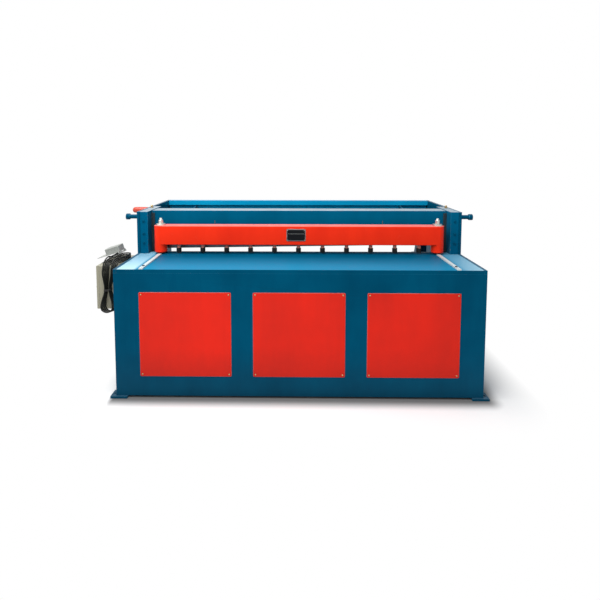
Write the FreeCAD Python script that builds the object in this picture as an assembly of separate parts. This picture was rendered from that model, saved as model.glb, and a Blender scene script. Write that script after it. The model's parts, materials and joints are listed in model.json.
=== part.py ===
import FreeCAD, Part
import math
import os

# Plate shearing machine, 2 m class, with a bed, a driven blade carrier and a hold-down beam.
# Millimetres. X runs along the blades, Y from the operator to the back, Z up.
# The origin is the centre of the four anchor holes in the foot plates, on the floor.

# Body
BODY_WIDTH = 2380.0
BODY_DEPTH = 1290.0
TABLE_HEIGHT = 850.0
FRAME_HEIGHT = 1160.0
SIDE_THICKNESS = 20.0
TABLE_THICKNESS = 25.0
PANEL_THICKNESS = 12.0
TABLE_JOINT = 2.0
SEAT_GAP = 0.3
SLIDE_CLEARANCE = 0.3
RUNNING_CLEARANCE = 0.05

# Foot plates
FOOT_LENGTH = 110.0
FOOT_DEPTH = 80.0
FOOT_THICKNESS = 15.0
FOOT_OUT_SIDE = 35.0
FOOT_OUT_FRONT = 15.0
ANCHOR_HOLE_RADIUS = 7.0

# Front covers
COVER_WIDTH = 592.0
COVER_HEIGHT = 555.0
COVER_THICKNESS = 4.0
COVER_PITCH = 732.0
COVER_DROP = 148.0
COVER_LAP = 20.0
COVER_CORNER = 8.0
COVER_RIM = 8.0
COVER_RIM_GAP = 4.0
COVER_SCREW_INSET = 15.0
COVER_SCREW_FLATS = 10.0
COVER_SCREW_HEAD = 3.0

# Cutting plane and blades
CUT_DISTANCE = 535.0
BLADE_THICKNESS = 20.0
BLADE_GAP = 0.3
LOWER_BLADE_LENGTH = 2080.0
LOWER_BLADE_HEIGHT = 70.0
UPPER_BLADE_LENGTH = 2040.0
UPPER_BLADE_HEIGHT = 70.0
UPPER_BLADE_LIFT = 23.5
BLADE_RAKE = 0.0158
BLADE_BOLTS = 8
BLADE_BOLT_RADIUS = 9.0
BLADE_BOLT_DEPTH = 12.0
BLADE_BOLT_SUNK = 1.0
BLADE_BOLT_FLATS = 15.0

# Bed beam
BED_THICKNESS = 40.0
BED_DEPTH = 185.0
BED_RIB_THICKNESS = 12.0

# Guide posts and slide guides
POST_FRONT = 458.0
POST_WIDTH = 60.0
POST_DEPTH = 340.0
POST_BELOW_TABLE = 410.0
POST_BOLT_SHARES = (0.25, 0.475, 0.775)
POST_BOLT_FLATS = 17.0
POST_BOLT_HEAD = 6.0
GUIDE_LINER = 3.7
GUIDE_LIP = 8.0
GUIDE_LIP_REACH = 25.0
GUIDE_BELOW_TABLE = 110.0
GUIDE_TOP_DROP = 20.0
OIL_CUP_RADIUS = 12.0
OIL_CUP_HEIGHT = 22.0
OIL_CUP_INSET = 35.0
OIL_CUP_BACK = 247.0

# Squaring strips on the table
STRIP_WIDTH = 26.0
STRIP_HEIGHT = 8.0
STRIP_INNER = 1000.0
STRIP_FRONT_INSET = 2.0
STRIP_HOLE_BACK = 60.0
STRIP_HOLE_RADIUS = 9.0
STRIP_TO_BEAM = 6.0
STRIP_SCREW_DROP = 1.0

# Blade carrier
CARRIER_TOP_DROP = 3.0
CARRIER_PLATE = 20.0
CARRIER_FLANGE_DEPTH = 134.7
CARRIER_FLANGE = 17.0
CARRIER_OVER_BLADE = 14.0
GUSSET_THICKNESS = 10.0
GUSSET_DROP = 175.0
GUSSET_PITCH = 300.0
GUSSETS = 5
ARM_THICKNESS = 44.0

# Eccentric drive: crank pins run in blocks that slide in the yokes of the carrier arms
SHAFT_Y = 80.0
SHAFT_BELOW_TABLE = 310.0
SHAFT_RADIUS = 35.0
ECCENTRICITY = 36.0
START_ANGLE = 35.0
CRANK_DISC_RADIUS = 66.0
CRANK_DISC_THICKNESS = 16.0
CRANK_PIN_RADIUS = 22.0
BLOCK_LENGTH = 90.0
BLOCK_HEIGHT = 60.0
BLOCK_SIDE_CLEARANCE = 2.0
YOKE_LIFT_CLEARANCE = 2.1
YOKE_WALL = 24.0
YOKE_CORNER = 6.0
ARM_FRONT_RISE = 40.0
ARM_BACK_RISE = 110.0
DRIVE_SIDE_GAP = 2.0

# Gear pair
GEAR_MODULE = 6.0
GEAR_TEETH = 64
PINION_TEETH = 17
GEAR_WIDTH = 40.0
PINION_WIDTH = 46.0
GEAR_INNER = 925.0
BACKLASH = 0.8
GEAR_HUB_RADIUS = 60.0
GEAR_HUB_LEFT = 15.0
GEAR_HUB_RIGHT = 5.0
GEAR_RIM_RADIUS = 165.0
GEAR_RECESS = 10.0
GEAR_HOLES = 6
GEAR_HOLE_RADIUS = 30.0
GEAR_HOLE_CIRCLE = 112.0
SHAFT_END_GAP = 4.0
COUNTER_ANGLE = 10.0
COUNTER_RADIUS = 20.0

# Flywheel, belts and motor
FLYWHEEL_RADIUS = 150.0
FLYWHEEL_WIDTH = 44.0
FLYWHEEL_LEFT = 986.0
BELT_WIDTH = 10.0
BELT_THICKNESS = 8.0
BELT_PITCH = 18.0
BELTS = 2
PULLEY_RADIUS = 60.0
PULLEY_WIDTH = 36.0
BELT_SEAT = 10.0
GROOVE_FLARE = 2.0
FLYWHEEL_RIM_RADIUS = 118.0
FLYWHEEL_HUB_RADIUS = 42.0
FLYWHEEL_RECESS = 15.0
MOTOR_Y = 500.0
MOTOR_RISE = 108.0
MOTOR_RADIUS = 84.0
MOTOR_LENGTH = 250.0
MOTOR_OVERHANG = 30.0
MOTOR_FINS = 12
MOTOR_SHAFT_RADIUS = 14.0
MOTOR_SHAFT_IN = 60.0
MOTOR_FIN_HEIGHT = 8.0
MOTOR_FIN_THICKNESS = 4.0
MOTOR_COWL = 42.0
MOTOR_COWL_EDGE = 12.0
MOTOR_BELL = 25.0
MOTOR_NOSE_RADIUS = 40.0
MOTOR_FOOT_LEFT = 70.0
MOTOR_FOOT_RIGHT = 50.0
MOTOR_FOOT_HALF = 80.0
MOTOR_FOOT_THICKNESS = 14.0
MOTOR_WEB_HALF = 50.0
TERMINAL_INSET = 20.0
TERMINAL_HALF = 40.0
TERMINAL_RISE = 32.0

# Drive pedestals, cross channels, guard and chute
PEDESTAL_X = 870.0
PEDESTAL_THICKNESS = 20.0
PEDESTAL_FRONT = -95.0
PEDESTAL_BACK = 400.0
PEDESTAL_OVER_SHAFT = 95.0
PEDESTAL_WINDOW_EDGE = 60.0
PEDESTAL_WINDOW_HEIGHT = 170.0
PEDESTAL_HOLE_GAP = 4.0
CHANNEL_HEIGHT = 80.0
CHANNEL_DEPTH = 80.0
CHANNEL_WALL = 8.0
CHANNEL_FRONTS = (-85.0, 255.0, 425.0, 553.0)
MOTOR_BASE = 12.0
BEARING_FLANGE_RADIUS = 56.0
BEARING_FLANGE = 12.0
BEARING_LENGTH = 26.0
BEARING_BOSS = 12.0
GUARD_LEFT = 976.0
GUARD_RIGHT = 1040.0
GUARD_WALL = 3.0
GUARD_RISE = 6.0
GUARD_CLEARANCE = 15.0
GUARD_NEAR_SHAFT = 10.0
GUARD_FOOT_INSET = 10.0
GUARD_FOOT_PLATE = 5.0
GUARD_CORNER = 10.0
GUARD_NECK_BACK = 70.0
GUARD_NECK_FOOT = 20.0
GUARD_TOP_BACK = 50.0
GUARD_SHOULDER_BACK = 72.0
GUARD_SHOULDER_RISE = 60.0
GUARD_SHAFT_GAP = 8.0
CHUTE_DROP = 75.0
CHUTE_SLOPE = 0.21
CHUTE_THICKNESS = 3.0
CHUTE_LIP = 40.0
CHUTE_LEFT = -1055.0
CHUTE_BACK = 548.0

# Hold-down beam
BEAM_LENGTH = 2126.0
BEAM_FRONT = 423.0
BEAM_DEPTH = 105.0
BEAM_LIFT = 71.0
BEAM_HEIGHT = 138.0
BEAM_WALL = 10.0
BEAM_EDGE = 6.0
COLUMN_RADIUS = 46.0
COLUMN_WALL = 6.0
COLUMN_LIFT = 13.0
COLUMN_CAP = 12.0
COLUMN_ROUNDING = 5.0
CLAMPS = 11
CLAMP_PITCH = 177.0
CLAMP_STEM_RADIUS = 13.5
CLAMP_PAD_RADIUS = 18.5
CLAMP_PAD_HEIGHT = 31.0
CLAMP_LIFT = 12.0
STUD_RADIUS = 10.0
STUD_BORE_CLEARANCE = 2.0
STUD_OVER_BEAM = 53.0
STUD_NUT_FLATS = 30.0
STUD_NUT_HEIGHT = 28.0
STUD_WASHER_RADIUS = 34.0
STUD_WASHER_THICKNESS = 12.0
SPRING_RADIUS = 27.0
SPRING_WIRE = 3.5
BEAM_PIN_X = 625.0
BEAM_PIN_RADIUS = 2.5
BEAM_PIN_HEIGHT = 28.0
BEAM_PIN_INSET = 12.0
PLATE_X = -18.0
PLATE_WIDTH = 140.0
PLATE_HEIGHT = 90.0
PLATE_CENTRE_DROP = 64.0
PLATE_THICKNESS = 2.0
PLATE_CORNER = 5.0

# Rear tie beam and lifting pins
TIE_DEPTH = 59.0
TIE_HEIGHT = 41.0
TIE_PLATE = 20.0
TIE_PLATE_HEIGHT = 220.0
LIFT_PIN_RADIUS = 16.0
LIFT_PIN_LENGTH = 113.0
LIFT_COLLAR_RADIUS = 23.0
LIFT_COLLAR = 26.0
LIFT_PIN_DISTANCE = 560.0
LIFT_PIN_DROP = 50.0

# Back gauge: two racks driven by a cross shaft with a hand crank
GAUGE_X = 900.0
GAUGE_BAR_WIDTH = 30.0
GAUGE_BAR_HEIGHT = 35.0
GAUGE_MODULE = 4.0
GAUGE_PINION_TEETH = 17
GAUGE_RACK_TEETH = 27
GAUGE_TEETH_AHEAD = 6.5
GAUGE_SHAFT_Y = 260.0
GAUGE_SHAFT_DROP = 115.0
GAUGE_SHAFT_RADIUS = 12.0
GAUGE_FRONT = 168.0
GAUGE_BACK = 560.0
GAUGE_BACKLASH = 0.5
STOP_LENGTH = 1900.0
STOP_THICKNESS = 8.0
STOP_LIFT = 4.0
STOP_HEIGHT = 44.0
STOP_LEG = 30.0
BRACKET_THICKNESS = 12.0
BRACKET_GAP = 3.0
BRACKET_TIE_GAP = 2.0
BRACKET_SHAFT_MARGIN = 30.0
BRACKET_FRONT_RISE = 25.0
SHOE_HEIGHT = 14.0
SHOE_LENGTH = 50.0
FRONT_SHOE_AHEAD = 25.0
REAR_SHOE_AHEAD = 110.0
CRANK_REACH_Y = -86.0
CRANK_REACH_Z = 82.0
CRANK_ARM_THICKNESS = 12.0
CRANK_GAP = 14.0
CRANK_BOSS_RADIUS = 20.0
CRANK_TIP_RADIUS = 13.0
GAUGE_SHAFT_END = 4.0
GRIP_RADIUS = 24.0
GRIP_LENGTH = 132.0
GRIP_NECK = ((1.0, 0.75), (6.0, 0.92), (30.0, 1.0))
GRIP_TIP = ((24.0, 1.0), (10.0, 0.79), (2.0, 0.46))
GRIP_PIN_RADIUS = 6.0
GRIP_PIN_SHORT = 14.0
GRIP_PIN_GAP = 1.0

# Electrical cabinet on the left wall
CABINET_OUT = 170.0
CABINET_FRONT = 138.0
CABINET_LENGTH = 320.0
CABINET_DROP = 14.0
CABINET_HEIGHT = 293.0
CABINET_WALL = 2.0
DOOR_DEPTH = 20.0
DOOR_GAP = 1.0
DOOR_CORNER = 4.0
HINGE_RADIUS = 6.0
HINGE_HEIGHT = 40.0
LOWER_HINGE_RISE = 50.0
UPPER_HINGE_DROP = 90.0
BUTTON_STEM_RADIUS = 11.0
BUTTON_STEM_DEPTH = 6.0
BUTTON_STEM_GAP = 0.5
BUTTON_EDGE = 1.0
BEZEL_HEIGHT = 3.0
START_BEZEL_RADIUS = 19.0
START_RISE = 9.0
STOP_BEZEL_RADIUS = 16.0
STOP_RISE = 17.0
STOP_CAP_RADIUS = 19.0
STOP_CAP_EDGE = 2.0
STOP_CAP_HEIGHT = 6.0
BUTTON_SPACING = 60.0
BUTTON_Z_DROP = 70.0
GLAND_BACK = 53.0
GLAND_RADIUS = 11.0
GLAND_NUT = 8.0
GLAND_NOSE = 21.0
GLAND_BODY_RADIUS = 9.0
GLAND_NOSE_RADIUS = 8.2
GLAND_MOUTH_RADIUS = 6.0

# Foot switch, lying on the cabinet against the coiled cable
SWITCH_LENGTH = 150.0
SWITCH_DEPTH = 110.0
SWITCH_PLATE = 3.0
SWITCH_LEFT = 1352.0
SWITCH_FRONT = 210.0
SWITCH_TILT = 26.7
PEDAL_OPEN = 9.0
PEDAL_OVERHANG = 14.0
HOOD_START = 48.0
HOOD_LENGTH = 98.0
HOOD_HEIGHT = 42.0
HOOD_DEPTH = 96.0
HOOD_WALL = 3.0
SWITCH_PIVOT_HEIGHT = 9.0
SWITCH_PIN_RADIUS = 3.0
SWITCH_PIN_INSET = 6.0
SWITCH_PIN_SHORT = 2.0
EAR_LENGTH = 12.0
EAR_THICKNESS = 6.0
EAR_INSET = 6.0
EAR_RISE = 5.0
LUG_INSET = 14.0
LUG_DROP = 5.0
LUG_RISE = 7.0
CORE_START = 50.0
CORE_PAST_ENTRY = 20.0
PEDAL_END_GAP = 4.0
PEDAL_RISE = 5.5
HOOD_CORNER = 6.0

# Cable from the cabinet to the foot switch
CABLE_RADIUS = 4.5
HANK_LOOPS = 4
HANK_STEP = 10.4
HANK_FOLD = 27.0
HANK_BACK = 372.0
HANK_DROP = 295.0
HANK_OUT_BACK = 42.0
HANK_OUT_FRONT = 68.0
HANK_WAIST_DROP = 151.0
HANK_WAIST_LENGTH = 125.0
HANK_WAIST_LEFT = 7.0
HANK_WAIST_RIGHT = 20.0
HANK_START_DROP = 179.0
HANK_SHIFT_LENGTH = 60.0
CABLE_LEAD = 20.0
CABLE_SIDES = 6

# Free stretches of the cable, from the left wall, the front and the cabinet's top
GLAND_STRETCH = (
    (-143.0, 170.0, -309.0), (-143.0, 148.5, -309.0), (-137.6, 129.6, -299.0),
    (-128.4, 118.8, -282.0), (-117.0, 121.5, -257.0), (-105.5, 126.1, -230.0),
)
SWITCH_STRETCH = ((-95.5, 145.0, 57.5), (-94.5, 179.0, 56.5))
SWITCH_ENTRY_X = 80.0
SWITCH_ENTRY_Y = 25.0
SWITCH_ENTRY_Z = 9.2
SWITCH_CORE_HEIGHT = 12.0

FLOOR = 0.0
HALF_WIDTH = BODY_WIDTH / 2
FRONT = -BODY_DEPTH / 2
BACK = BODY_DEPTH / 2
INSIDE = HALF_WIDTH - SIDE_THICKNESS
TABLE_BOTTOM = TABLE_HEIGHT - TABLE_THICKNESS
CUT_Y = FRONT + CUT_DISTANCE
BED_BACK = CUT_Y - BLADE_THICKNESS
POST_Y = FRONT + POST_FRONT
POST_BACK = POST_Y + POST_DEPTH
POST_INNER = INSIDE - POST_WIDTH
CARRIER_HALF = POST_INNER - GUIDE_LINER - SLIDE_CLEARANCE
CARRIER_TOP = FRAME_HEIGHT - CARRIER_TOP_DROP
UPPER_FRONT = CUT_Y + BLADE_GAP
CARRIER_FRONT = UPPER_FRONT + BLADE_THICKNESS
CARRIER_BACK = CARRIER_FRONT + CARRIER_PLATE
ARM_BACK = CARRIER_FRONT + CARRIER_FLANGE_DEPTH
ARM_INNER = CARRIER_HALF - ARM_THICKNESS
SHAFT_Z = TABLE_HEIGHT - SHAFT_BELOW_TABLE
START = math.radians(START_ANGLE)
PIN_Y = SHAFT_Y + ECCENTRICITY * math.sin(START)
PIN_Z = SHAFT_Z + ECCENTRICITY * math.cos(START)
STROKE = 2 * ECCENTRICITY * math.cos(START)
CENTRE_DISTANCE = GEAR_MODULE * (GEAR_TEETH + PINION_TEETH) / 2
COUNTER_Y = SHAFT_Y + CENTRE_DISTANCE * math.cos(math.radians(COUNTER_ANGLE))
COUNTER_Z = SHAFT_Z + CENTRE_DISTANCE * math.sin(math.radians(COUNTER_ANGLE))
CHANNEL_TOP = FOOT_THICKNESS + CHANNEL_HEIGHT
MOTOR_Z = CHANNEL_TOP + MOTOR_BASE + MOTOR_RISE
GUARD_TOP = TABLE_HEIGHT + GUARD_RISE
CHUTE_START_Z = TABLE_HEIGHT - CHUTE_DROP
BEAM_BOTTOM = TABLE_HEIGHT + BEAM_LIFT
BEAM_TOP = BEAM_BOTTOM + BEAM_HEIGHT
COLUMN_BOTTOM = TABLE_HEIGHT + COLUMN_LIFT
STUD_TOP = BEAM_TOP + STUD_OVER_BEAM
BEAM_Y = FRONT + BEAM_FRONT
COLUMN_X = BEAM_LENGTH / 2 - COLUMN_RADIUS
COLUMN_Y = BEAM_Y + COLUMN_RADIUS
PEDESTAL_OUTER = PEDESTAL_X + PEDESTAL_THICKNESS
CABINET_TOP = TABLE_HEIGHT - CABINET_DROP
CABINET_BOTTOM = CABINET_TOP - CABINET_HEIGHT
CABINET_Y = FRONT + CABINET_FRONT
CABINET_BACK = CABINET_Y + CABINET_LENGTH
CABINET_LEFT = -HALF_WIDTH - CABINET_OUT
DOOR_PLANE = CABINET_LEFT + DOOR_DEPTH
GAUGE_SHAFT_Z = FRAME_HEIGHT - GAUGE_SHAFT_DROP
GAUGE_PINION_RADIUS = GAUGE_MODULE * GAUGE_PINION_TEETH / 2
RACK_LINE = GAUGE_SHAFT_Z - GAUGE_PINION_RADIUS

HANK_BOTTOM = CABINET_TOP - HANK_DROP
HANK_WAIST_Z = CABINET_TOP - HANK_WAIST_DROP
HANK_START_Z = CABINET_TOP - HANK_START_DROP
HANK_X_BACK = -HALF_WIDTH - HANK_OUT_BACK
HANK_X_FRONT = -HALF_WIDTH - HANK_OUT_FRONT

# The cable's flat sides enclose the same area as its round section
CABLE_CORNER = CABLE_RADIUS * math.sqrt(2 * math.pi / CABLE_SIDES / math.sin(2 * math.pi / CABLE_SIDES))

NODES = {}


def vec(x, y, z):
    return FreeCAD.Vector(x, y, z)


def box(x0, x1, y0, y1, z0, z1):
    return Part.makeBox(x1 - x0, y1 - y0, z1 - z0, vec(x0, y0, z0))


def rod(axis, start, length, radius, u, v):
    """Cylinder along an axis: for X, u and v are Y and Z; for Y, X and Z; for Z, X and Y."""
    if axis == "X":
        return Part.makeCylinder(radius, length, vec(start, u, v), vec(1, 0, 0))
    if axis == "Y":
        return Part.makeCylinder(radius, length, vec(u, start, v), vec(0, 1, 0))
    return Part.makeCylinder(radius, length, vec(u, v, start), vec(0, 0, 1))


def plate_x(points, x0, x1):
    """Outline of (Y, Z) points, extruded from x0 to x1."""
    corners = [vec(x0, y, z) for y, z in points]
    face = Part.Face(Part.makePolygon(corners + corners[:1]))
    return face.extrude(vec(x1 - x0, 0, 0))


def plate_y(points, y0, y1):
    """Outline of (X, Z) points, extruded from y0 to y1."""
    corners = [vec(x, y0, z) for x, z in points]
    face = Part.Face(Part.makePolygon(corners + corners[:1]))
    return face.extrude(vec(0, y1 - y0, 0))


def hexagon(axis, start, length, flats, u, v):
    """Hexagon bar, with the same arguments as rod but the size across the flats."""
    corners = []
    for step in range(7):
        turn = math.radians(60 * step + 30)
        a = u + flats / math.sqrt(3) * math.cos(turn)
        b = v + flats / math.sqrt(3) * math.sin(turn)
        corners.append(vec(start, a, b) if axis == "X" else vec(a, start, b) if axis == "Y"
                       else vec(a, b, start))
    along = {"X": vec(length, 0, 0), "Y": vec(0, length, 0), "Z": vec(0, 0, length)}[axis]
    return Part.Face(Part.makePolygon(corners)).extrude(along)


def spin(points, axis, origin):
    """Solid of revolution of (along, radius) points about an axis through origin."""
    direction = {"X": vec(1, 0, 0), "Y": vec(0, 1, 0), "Z": vec(0, 0, 1)}[axis]
    side = vec(0, 0, 1) if axis != "Z" else vec(1, 0, 0)
    corners = [origin + direction * a + side * r for a, r in points]
    face = Part.Face(Part.makePolygon(corners + corners[:1]))
    return face.revolve(origin, direction, 360)


def rounded(solid, radius, wanted):
    """Fillet the straight edges whose direction and middle point pass the test."""
    edges = []
    for edge in solid.Edges:
        if edge.Curve.TypeId != "Part::GeomLine":
            continue
        run = edge.Vertexes[1].Point - edge.Vertexes[0].Point
        if wanted(run.normalize(), edge.CenterOfMass):
            edges.append(edge)
    return solid.makeFillet(radius, edges)


def both_sides(solid):
    """The solid and its mirror image across the middle plane."""
    return [solid, solid.mirror(vec(0, 0, 0), vec(1, 0, 0))]


def keep(name, *solids):
    """Name a node made of one solid, or of a group of separate ones."""
    NODES[name] = solids[0] if len(solids) == 1 else Part.makeCompound(list(solids))


def spread(count, pitch):
    """Places of a row that is centred on zero."""
    return [(index - (count - 1) / 2) * pitch for index in range(count)]


def side_frames():
    outline = [
        (FRONT + PANEL_THICKNESS, FOOT_THICKNESS),
        (BACK, FOOT_THICKNESS),
        (BACK, FRAME_HEIGHT),
        (POST_Y, FRAME_HEIGHT),
        (POST_Y, TABLE_HEIGHT),
        (FRONT, TABLE_HEIGHT),
        (FRONT, TABLE_BOTTOM),
        (FRONT + PANEL_THICKNESS, TABLE_BOTTOM),
    ]
    plate = plate_x(outline, INSIDE, HALF_WIDTH)
    shaft_hole = rod("X", -HALF_WIDTH, BODY_WIDTH, GAUGE_SHAFT_RADIUS + RUNNING_CLEARANCE, GAUGE_SHAFT_Y,
                     GAUGE_SHAFT_Z)
    right, left = both_sides(plate)
    keep("right_side_frame", right.cut(shaft_hole))
    keep("left_side_frame", left.cut(shaft_hole))


def cover_frame(inset, y0, y1, centre):
    """Block the size of a cover, drawn in by inset on all sides."""
    top = TABLE_HEIGHT - COVER_DROP - inset
    bottom = TABLE_HEIGHT - COVER_DROP - COVER_HEIGHT + inset
    half = COVER_WIDTH / 2 - inset
    block = box(centre - half, centre + half, y0, y1, bottom, top)
    return rounded(block, COVER_CORNER, lambda run, middle: abs(run.y) > 0.9)


def cover_screw_places():
    places = []
    top = TABLE_HEIGHT - COVER_DROP - COVER_SCREW_INSET
    bottom = TABLE_HEIGHT - COVER_DROP - COVER_HEIGHT + COVER_SCREW_INSET
    for centre in spread(3, COVER_PITCH):
        for side in (-1, 1):
            x = centre + side * (COVER_WIDTH / 2 - COVER_SCREW_INSET)
            places += [(x, top), (x, bottom)]
    return places


def front():
    panel = box(-HALF_WIDTH, HALF_WIDTH, FRONT, FRONT + PANEL_THICKNESS, FOOT_THICKNESS, TABLE_BOTTOM)
    for centre in spread(3, COVER_PITCH):
        panel = panel.cut(cover_frame(COVER_LAP, FRONT, FRONT + PANEL_THICKNESS, centre))
    keep("front_panel", panel)
    for name, centre in zip(("left_cover", "middle_cover", "right_cover"), spread(3, COVER_PITCH)):
        sheet = cover_frame(0, FRONT - COVER_THICKNESS, FRONT, centre)
        rim = cover_frame(COVER_LAP + COVER_RIM_GAP, FRONT, FRONT + COVER_RIM, centre)
        hollow = cover_frame(COVER_LAP + COVER_RIM_GAP + COVER_THICKNESS, FRONT, FRONT + COVER_RIM, centre)
        keep(name, sheet.fuse(rim.cut(hollow)).removeSplitter())
    heads = []
    for x, z in cover_screw_places():
        heads.append(hexagon("Y", FRONT - COVER_THICKNESS - COVER_SCREW_HEAD, COVER_SCREW_HEAD,
                             COVER_SCREW_FLATS, x, z))
    keep("cover_screws", *heads)


def table():
    half = INSIDE - TABLE_JOINT
    notch = POST_INNER - TABLE_JOINT
    notch_front = POST_Y - TABLE_JOINT
    corners = [
        (-half, FRONT), (half, FRONT), (half, notch_front), (notch, notch_front), (notch, BED_BACK),
        (-notch, BED_BACK), (-notch, notch_front), (-half, notch_front),
    ]
    points = [vec(x, y, TABLE_BOTTOM) for x, y in corners]
    plate = Part.Face(Part.makePolygon(points + points[:1])).extrude(vec(0, 0, TABLE_THICKNESS))
    for side in (-1, 1):
        plate = plate.cut(rod("Z", TABLE_BOTTOM, TABLE_THICKNESS, STUD_RADIUS, side * COLUMN_X, COLUMN_Y))
    keep("table_plate", plate)
    beam = box(-POST_INNER, POST_INNER, BED_BACK - BED_THICKNESS, BED_BACK, TABLE_BOTTOM - BED_DEPTH,
               TABLE_BOTTOM)
    rib_front = FRONT + PANEL_THICKNESS
    rib = [(rib_front, TABLE_BOTTOM), (rib_front, TABLE_BOTTOM - BED_DEPTH / 2)]
    rib += [(BED_BACK - BED_THICKNESS, TABLE_BOTTOM - BED_DEPTH), (BED_BACK - BED_THICKNESS, TABLE_BOTTOM)]
    for centre in spread(2, COVER_PITCH):
        beam = beam.fuse(plate_x(rib, centre - BED_RIB_THICKNESS / 2, centre + BED_RIB_THICKNESS / 2))
    blade = box(-LOWER_BLADE_LENGTH / 2, LOWER_BLADE_LENGTH / 2, BED_BACK, CUT_Y,
                TABLE_HEIGHT - LOWER_BLADE_HEIGHT, TABLE_HEIGHT)
    bolts = []
    bolt_z = TABLE_HEIGHT - LOWER_BLADE_HEIGHT / 2 - TABLE_THICKNESS / 2
    for x in spread(BLADE_BOLTS, LOWER_BLADE_LENGTH / BLADE_BOLTS):
        hole = rod("Y", CUT_Y - BLADE_BOLT_DEPTH, BLADE_BOLT_DEPTH, BLADE_BOLT_RADIUS, x, bolt_z)
        blade = blade.cut(hole)
        bolts.append(hexagon("Y", CUT_Y - BLADE_BOLT_DEPTH, BLADE_BOLT_DEPTH - BLADE_BOLT_SUNK,
                             BLADE_BOLT_FLATS, x, bolt_z))
    keep("bed_beam", beam.removeSplitter())
    keep("lower_blade", blade)
    keep("lower_blade_bolts", *bolts)


def squaring_strips():
    strips = []
    screws = []
    back = BEAM_Y - STRIP_TO_BEAM
    hole_y = FRONT + STRIP_HOLE_BACK
    for side in (-1, 1):
        low = min(side * STRIP_INNER, side * (STRIP_INNER + STRIP_WIDTH))
        strip = box(low, low + STRIP_WIDTH, FRONT + STRIP_FRONT_INSET, back, TABLE_HEIGHT,
                    TABLE_HEIGHT + STRIP_HEIGHT)
        centre = low + STRIP_WIDTH / 2
        sink = [(STRIP_HEIGHT, 0), (STRIP_HEIGHT, STRIP_HOLE_RADIUS), (0, STRIP_HOLE_RADIUS / 2), (0, 0)]
        strips.append(strip.cut(spin(sink, "Z", vec(centre, hole_y, TABLE_HEIGHT))))
        head_top = STRIP_HEIGHT - STRIP_SCREW_DROP
        wide = STRIP_HOLE_RADIUS - 2 * SEAT_GAP
        head = [(head_top, 0), (head_top, wide), (0, STRIP_HOLE_RADIUS / 2 - SEAT_GAP), (0, 0)]
        screws.append(spin(head, "Z", vec(centre, hole_y, TABLE_HEIGHT)))
    keep("squaring_strips", *strips)
    keep("squaring_strip_screws", *screws)


def feet():
    plates = []
    out = HALF_WIDTH + FOOT_OUT_SIDE
    ahead = BACK + FOOT_OUT_FRONT
    for side in (-1, 1):
        for end in (-1, 1):
            x = sorted((side * out, side * (out - FOOT_LENGTH)))
            y = sorted((end * ahead, end * (ahead - FOOT_DEPTH)))
            plate = box(x[0], x[1], y[0], y[1], FLOOR, FOOT_THICKNESS)
            hole_x = side * (HALF_WIDTH + FOOT_OUT_SIDE / 2)
            hole_y = end * (ahead - FOOT_DEPTH / 2)
            plates.append(plate.cut(rod("Z", FLOOR, FOOT_THICKNESS, ANCHOR_HOLE_RADIUS, hole_x, hole_y)))
    keep("foot_plates", *plates)


def rear_frame():
    tie = [
        (BACK - TIE_DEPTH, FRAME_HEIGHT), (BACK - TIE_DEPTH, FRAME_HEIGHT - TIE_HEIGHT),
        (BACK - TIE_PLATE, FRAME_HEIGHT - TIE_HEIGHT), (BACK - TIE_PLATE, FRAME_HEIGHT - TIE_PLATE_HEIGHT),
        (BACK, FRAME_HEIGHT - TIE_PLATE_HEIGHT), (BACK, FRAME_HEIGHT),
    ]
    keep("rear_tie_beam", plate_x(tie, -INSIDE, INSIDE))
    channels = []
    top = CHANNEL_TOP
    for y in CHANNEL_FRONTS:
        section = [
            (y, FOOT_THICKNESS), (y + CHANNEL_WALL, FOOT_THICKNESS), (y + CHANNEL_WALL, top - CHANNEL_WALL),
            (y + CHANNEL_DEPTH - CHANNEL_WALL, top - CHANNEL_WALL),
            (y + CHANNEL_DEPTH - CHANNEL_WALL, FOOT_THICKNESS),
            (y + CHANNEL_DEPTH, FOOT_THICKNESS), (y + CHANNEL_DEPTH, top), (y, top),
        ]
        channels.append(plate_x(section, -INSIDE, INSIDE))
    motor_right = FLYWHEEL_LEFT + FLYWHEEL_WIDTH / 2 - PULLEY_WIDTH / 2 - MOTOR_OVERHANG
    base_left = motor_right - MOTOR_LENGTH + MOTOR_FOOT_LEFT / 2
    base_right = motor_right - MOTOR_FOOT_RIGHT / 2
    channels.append(box(base_left, base_right, CHANNEL_FRONTS[2],
                        CHANNEL_FRONTS[3] + CHANNEL_DEPTH, top, top + MOTOR_BASE))
    keep("cross_channels", *channels)
    pin = [
        (0, 0), (0, LIFT_PIN_RADIUS), (LIFT_PIN_LENGTH - LIFT_COLLAR, LIFT_PIN_RADIUS),
        (LIFT_PIN_LENGTH - LIFT_COLLAR, LIFT_COLLAR_RADIUS), (LIFT_PIN_LENGTH, LIFT_COLLAR_RADIUS),
        (LIFT_PIN_LENGTH, 0),
    ]
    keep("lifting_pins", *both_sides(spin(pin, "X", vec(HALF_WIDTH, FRONT + LIFT_PIN_DISTANCE,
                                                        FRAME_HEIGHT - LIFT_PIN_DROP))))


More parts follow.
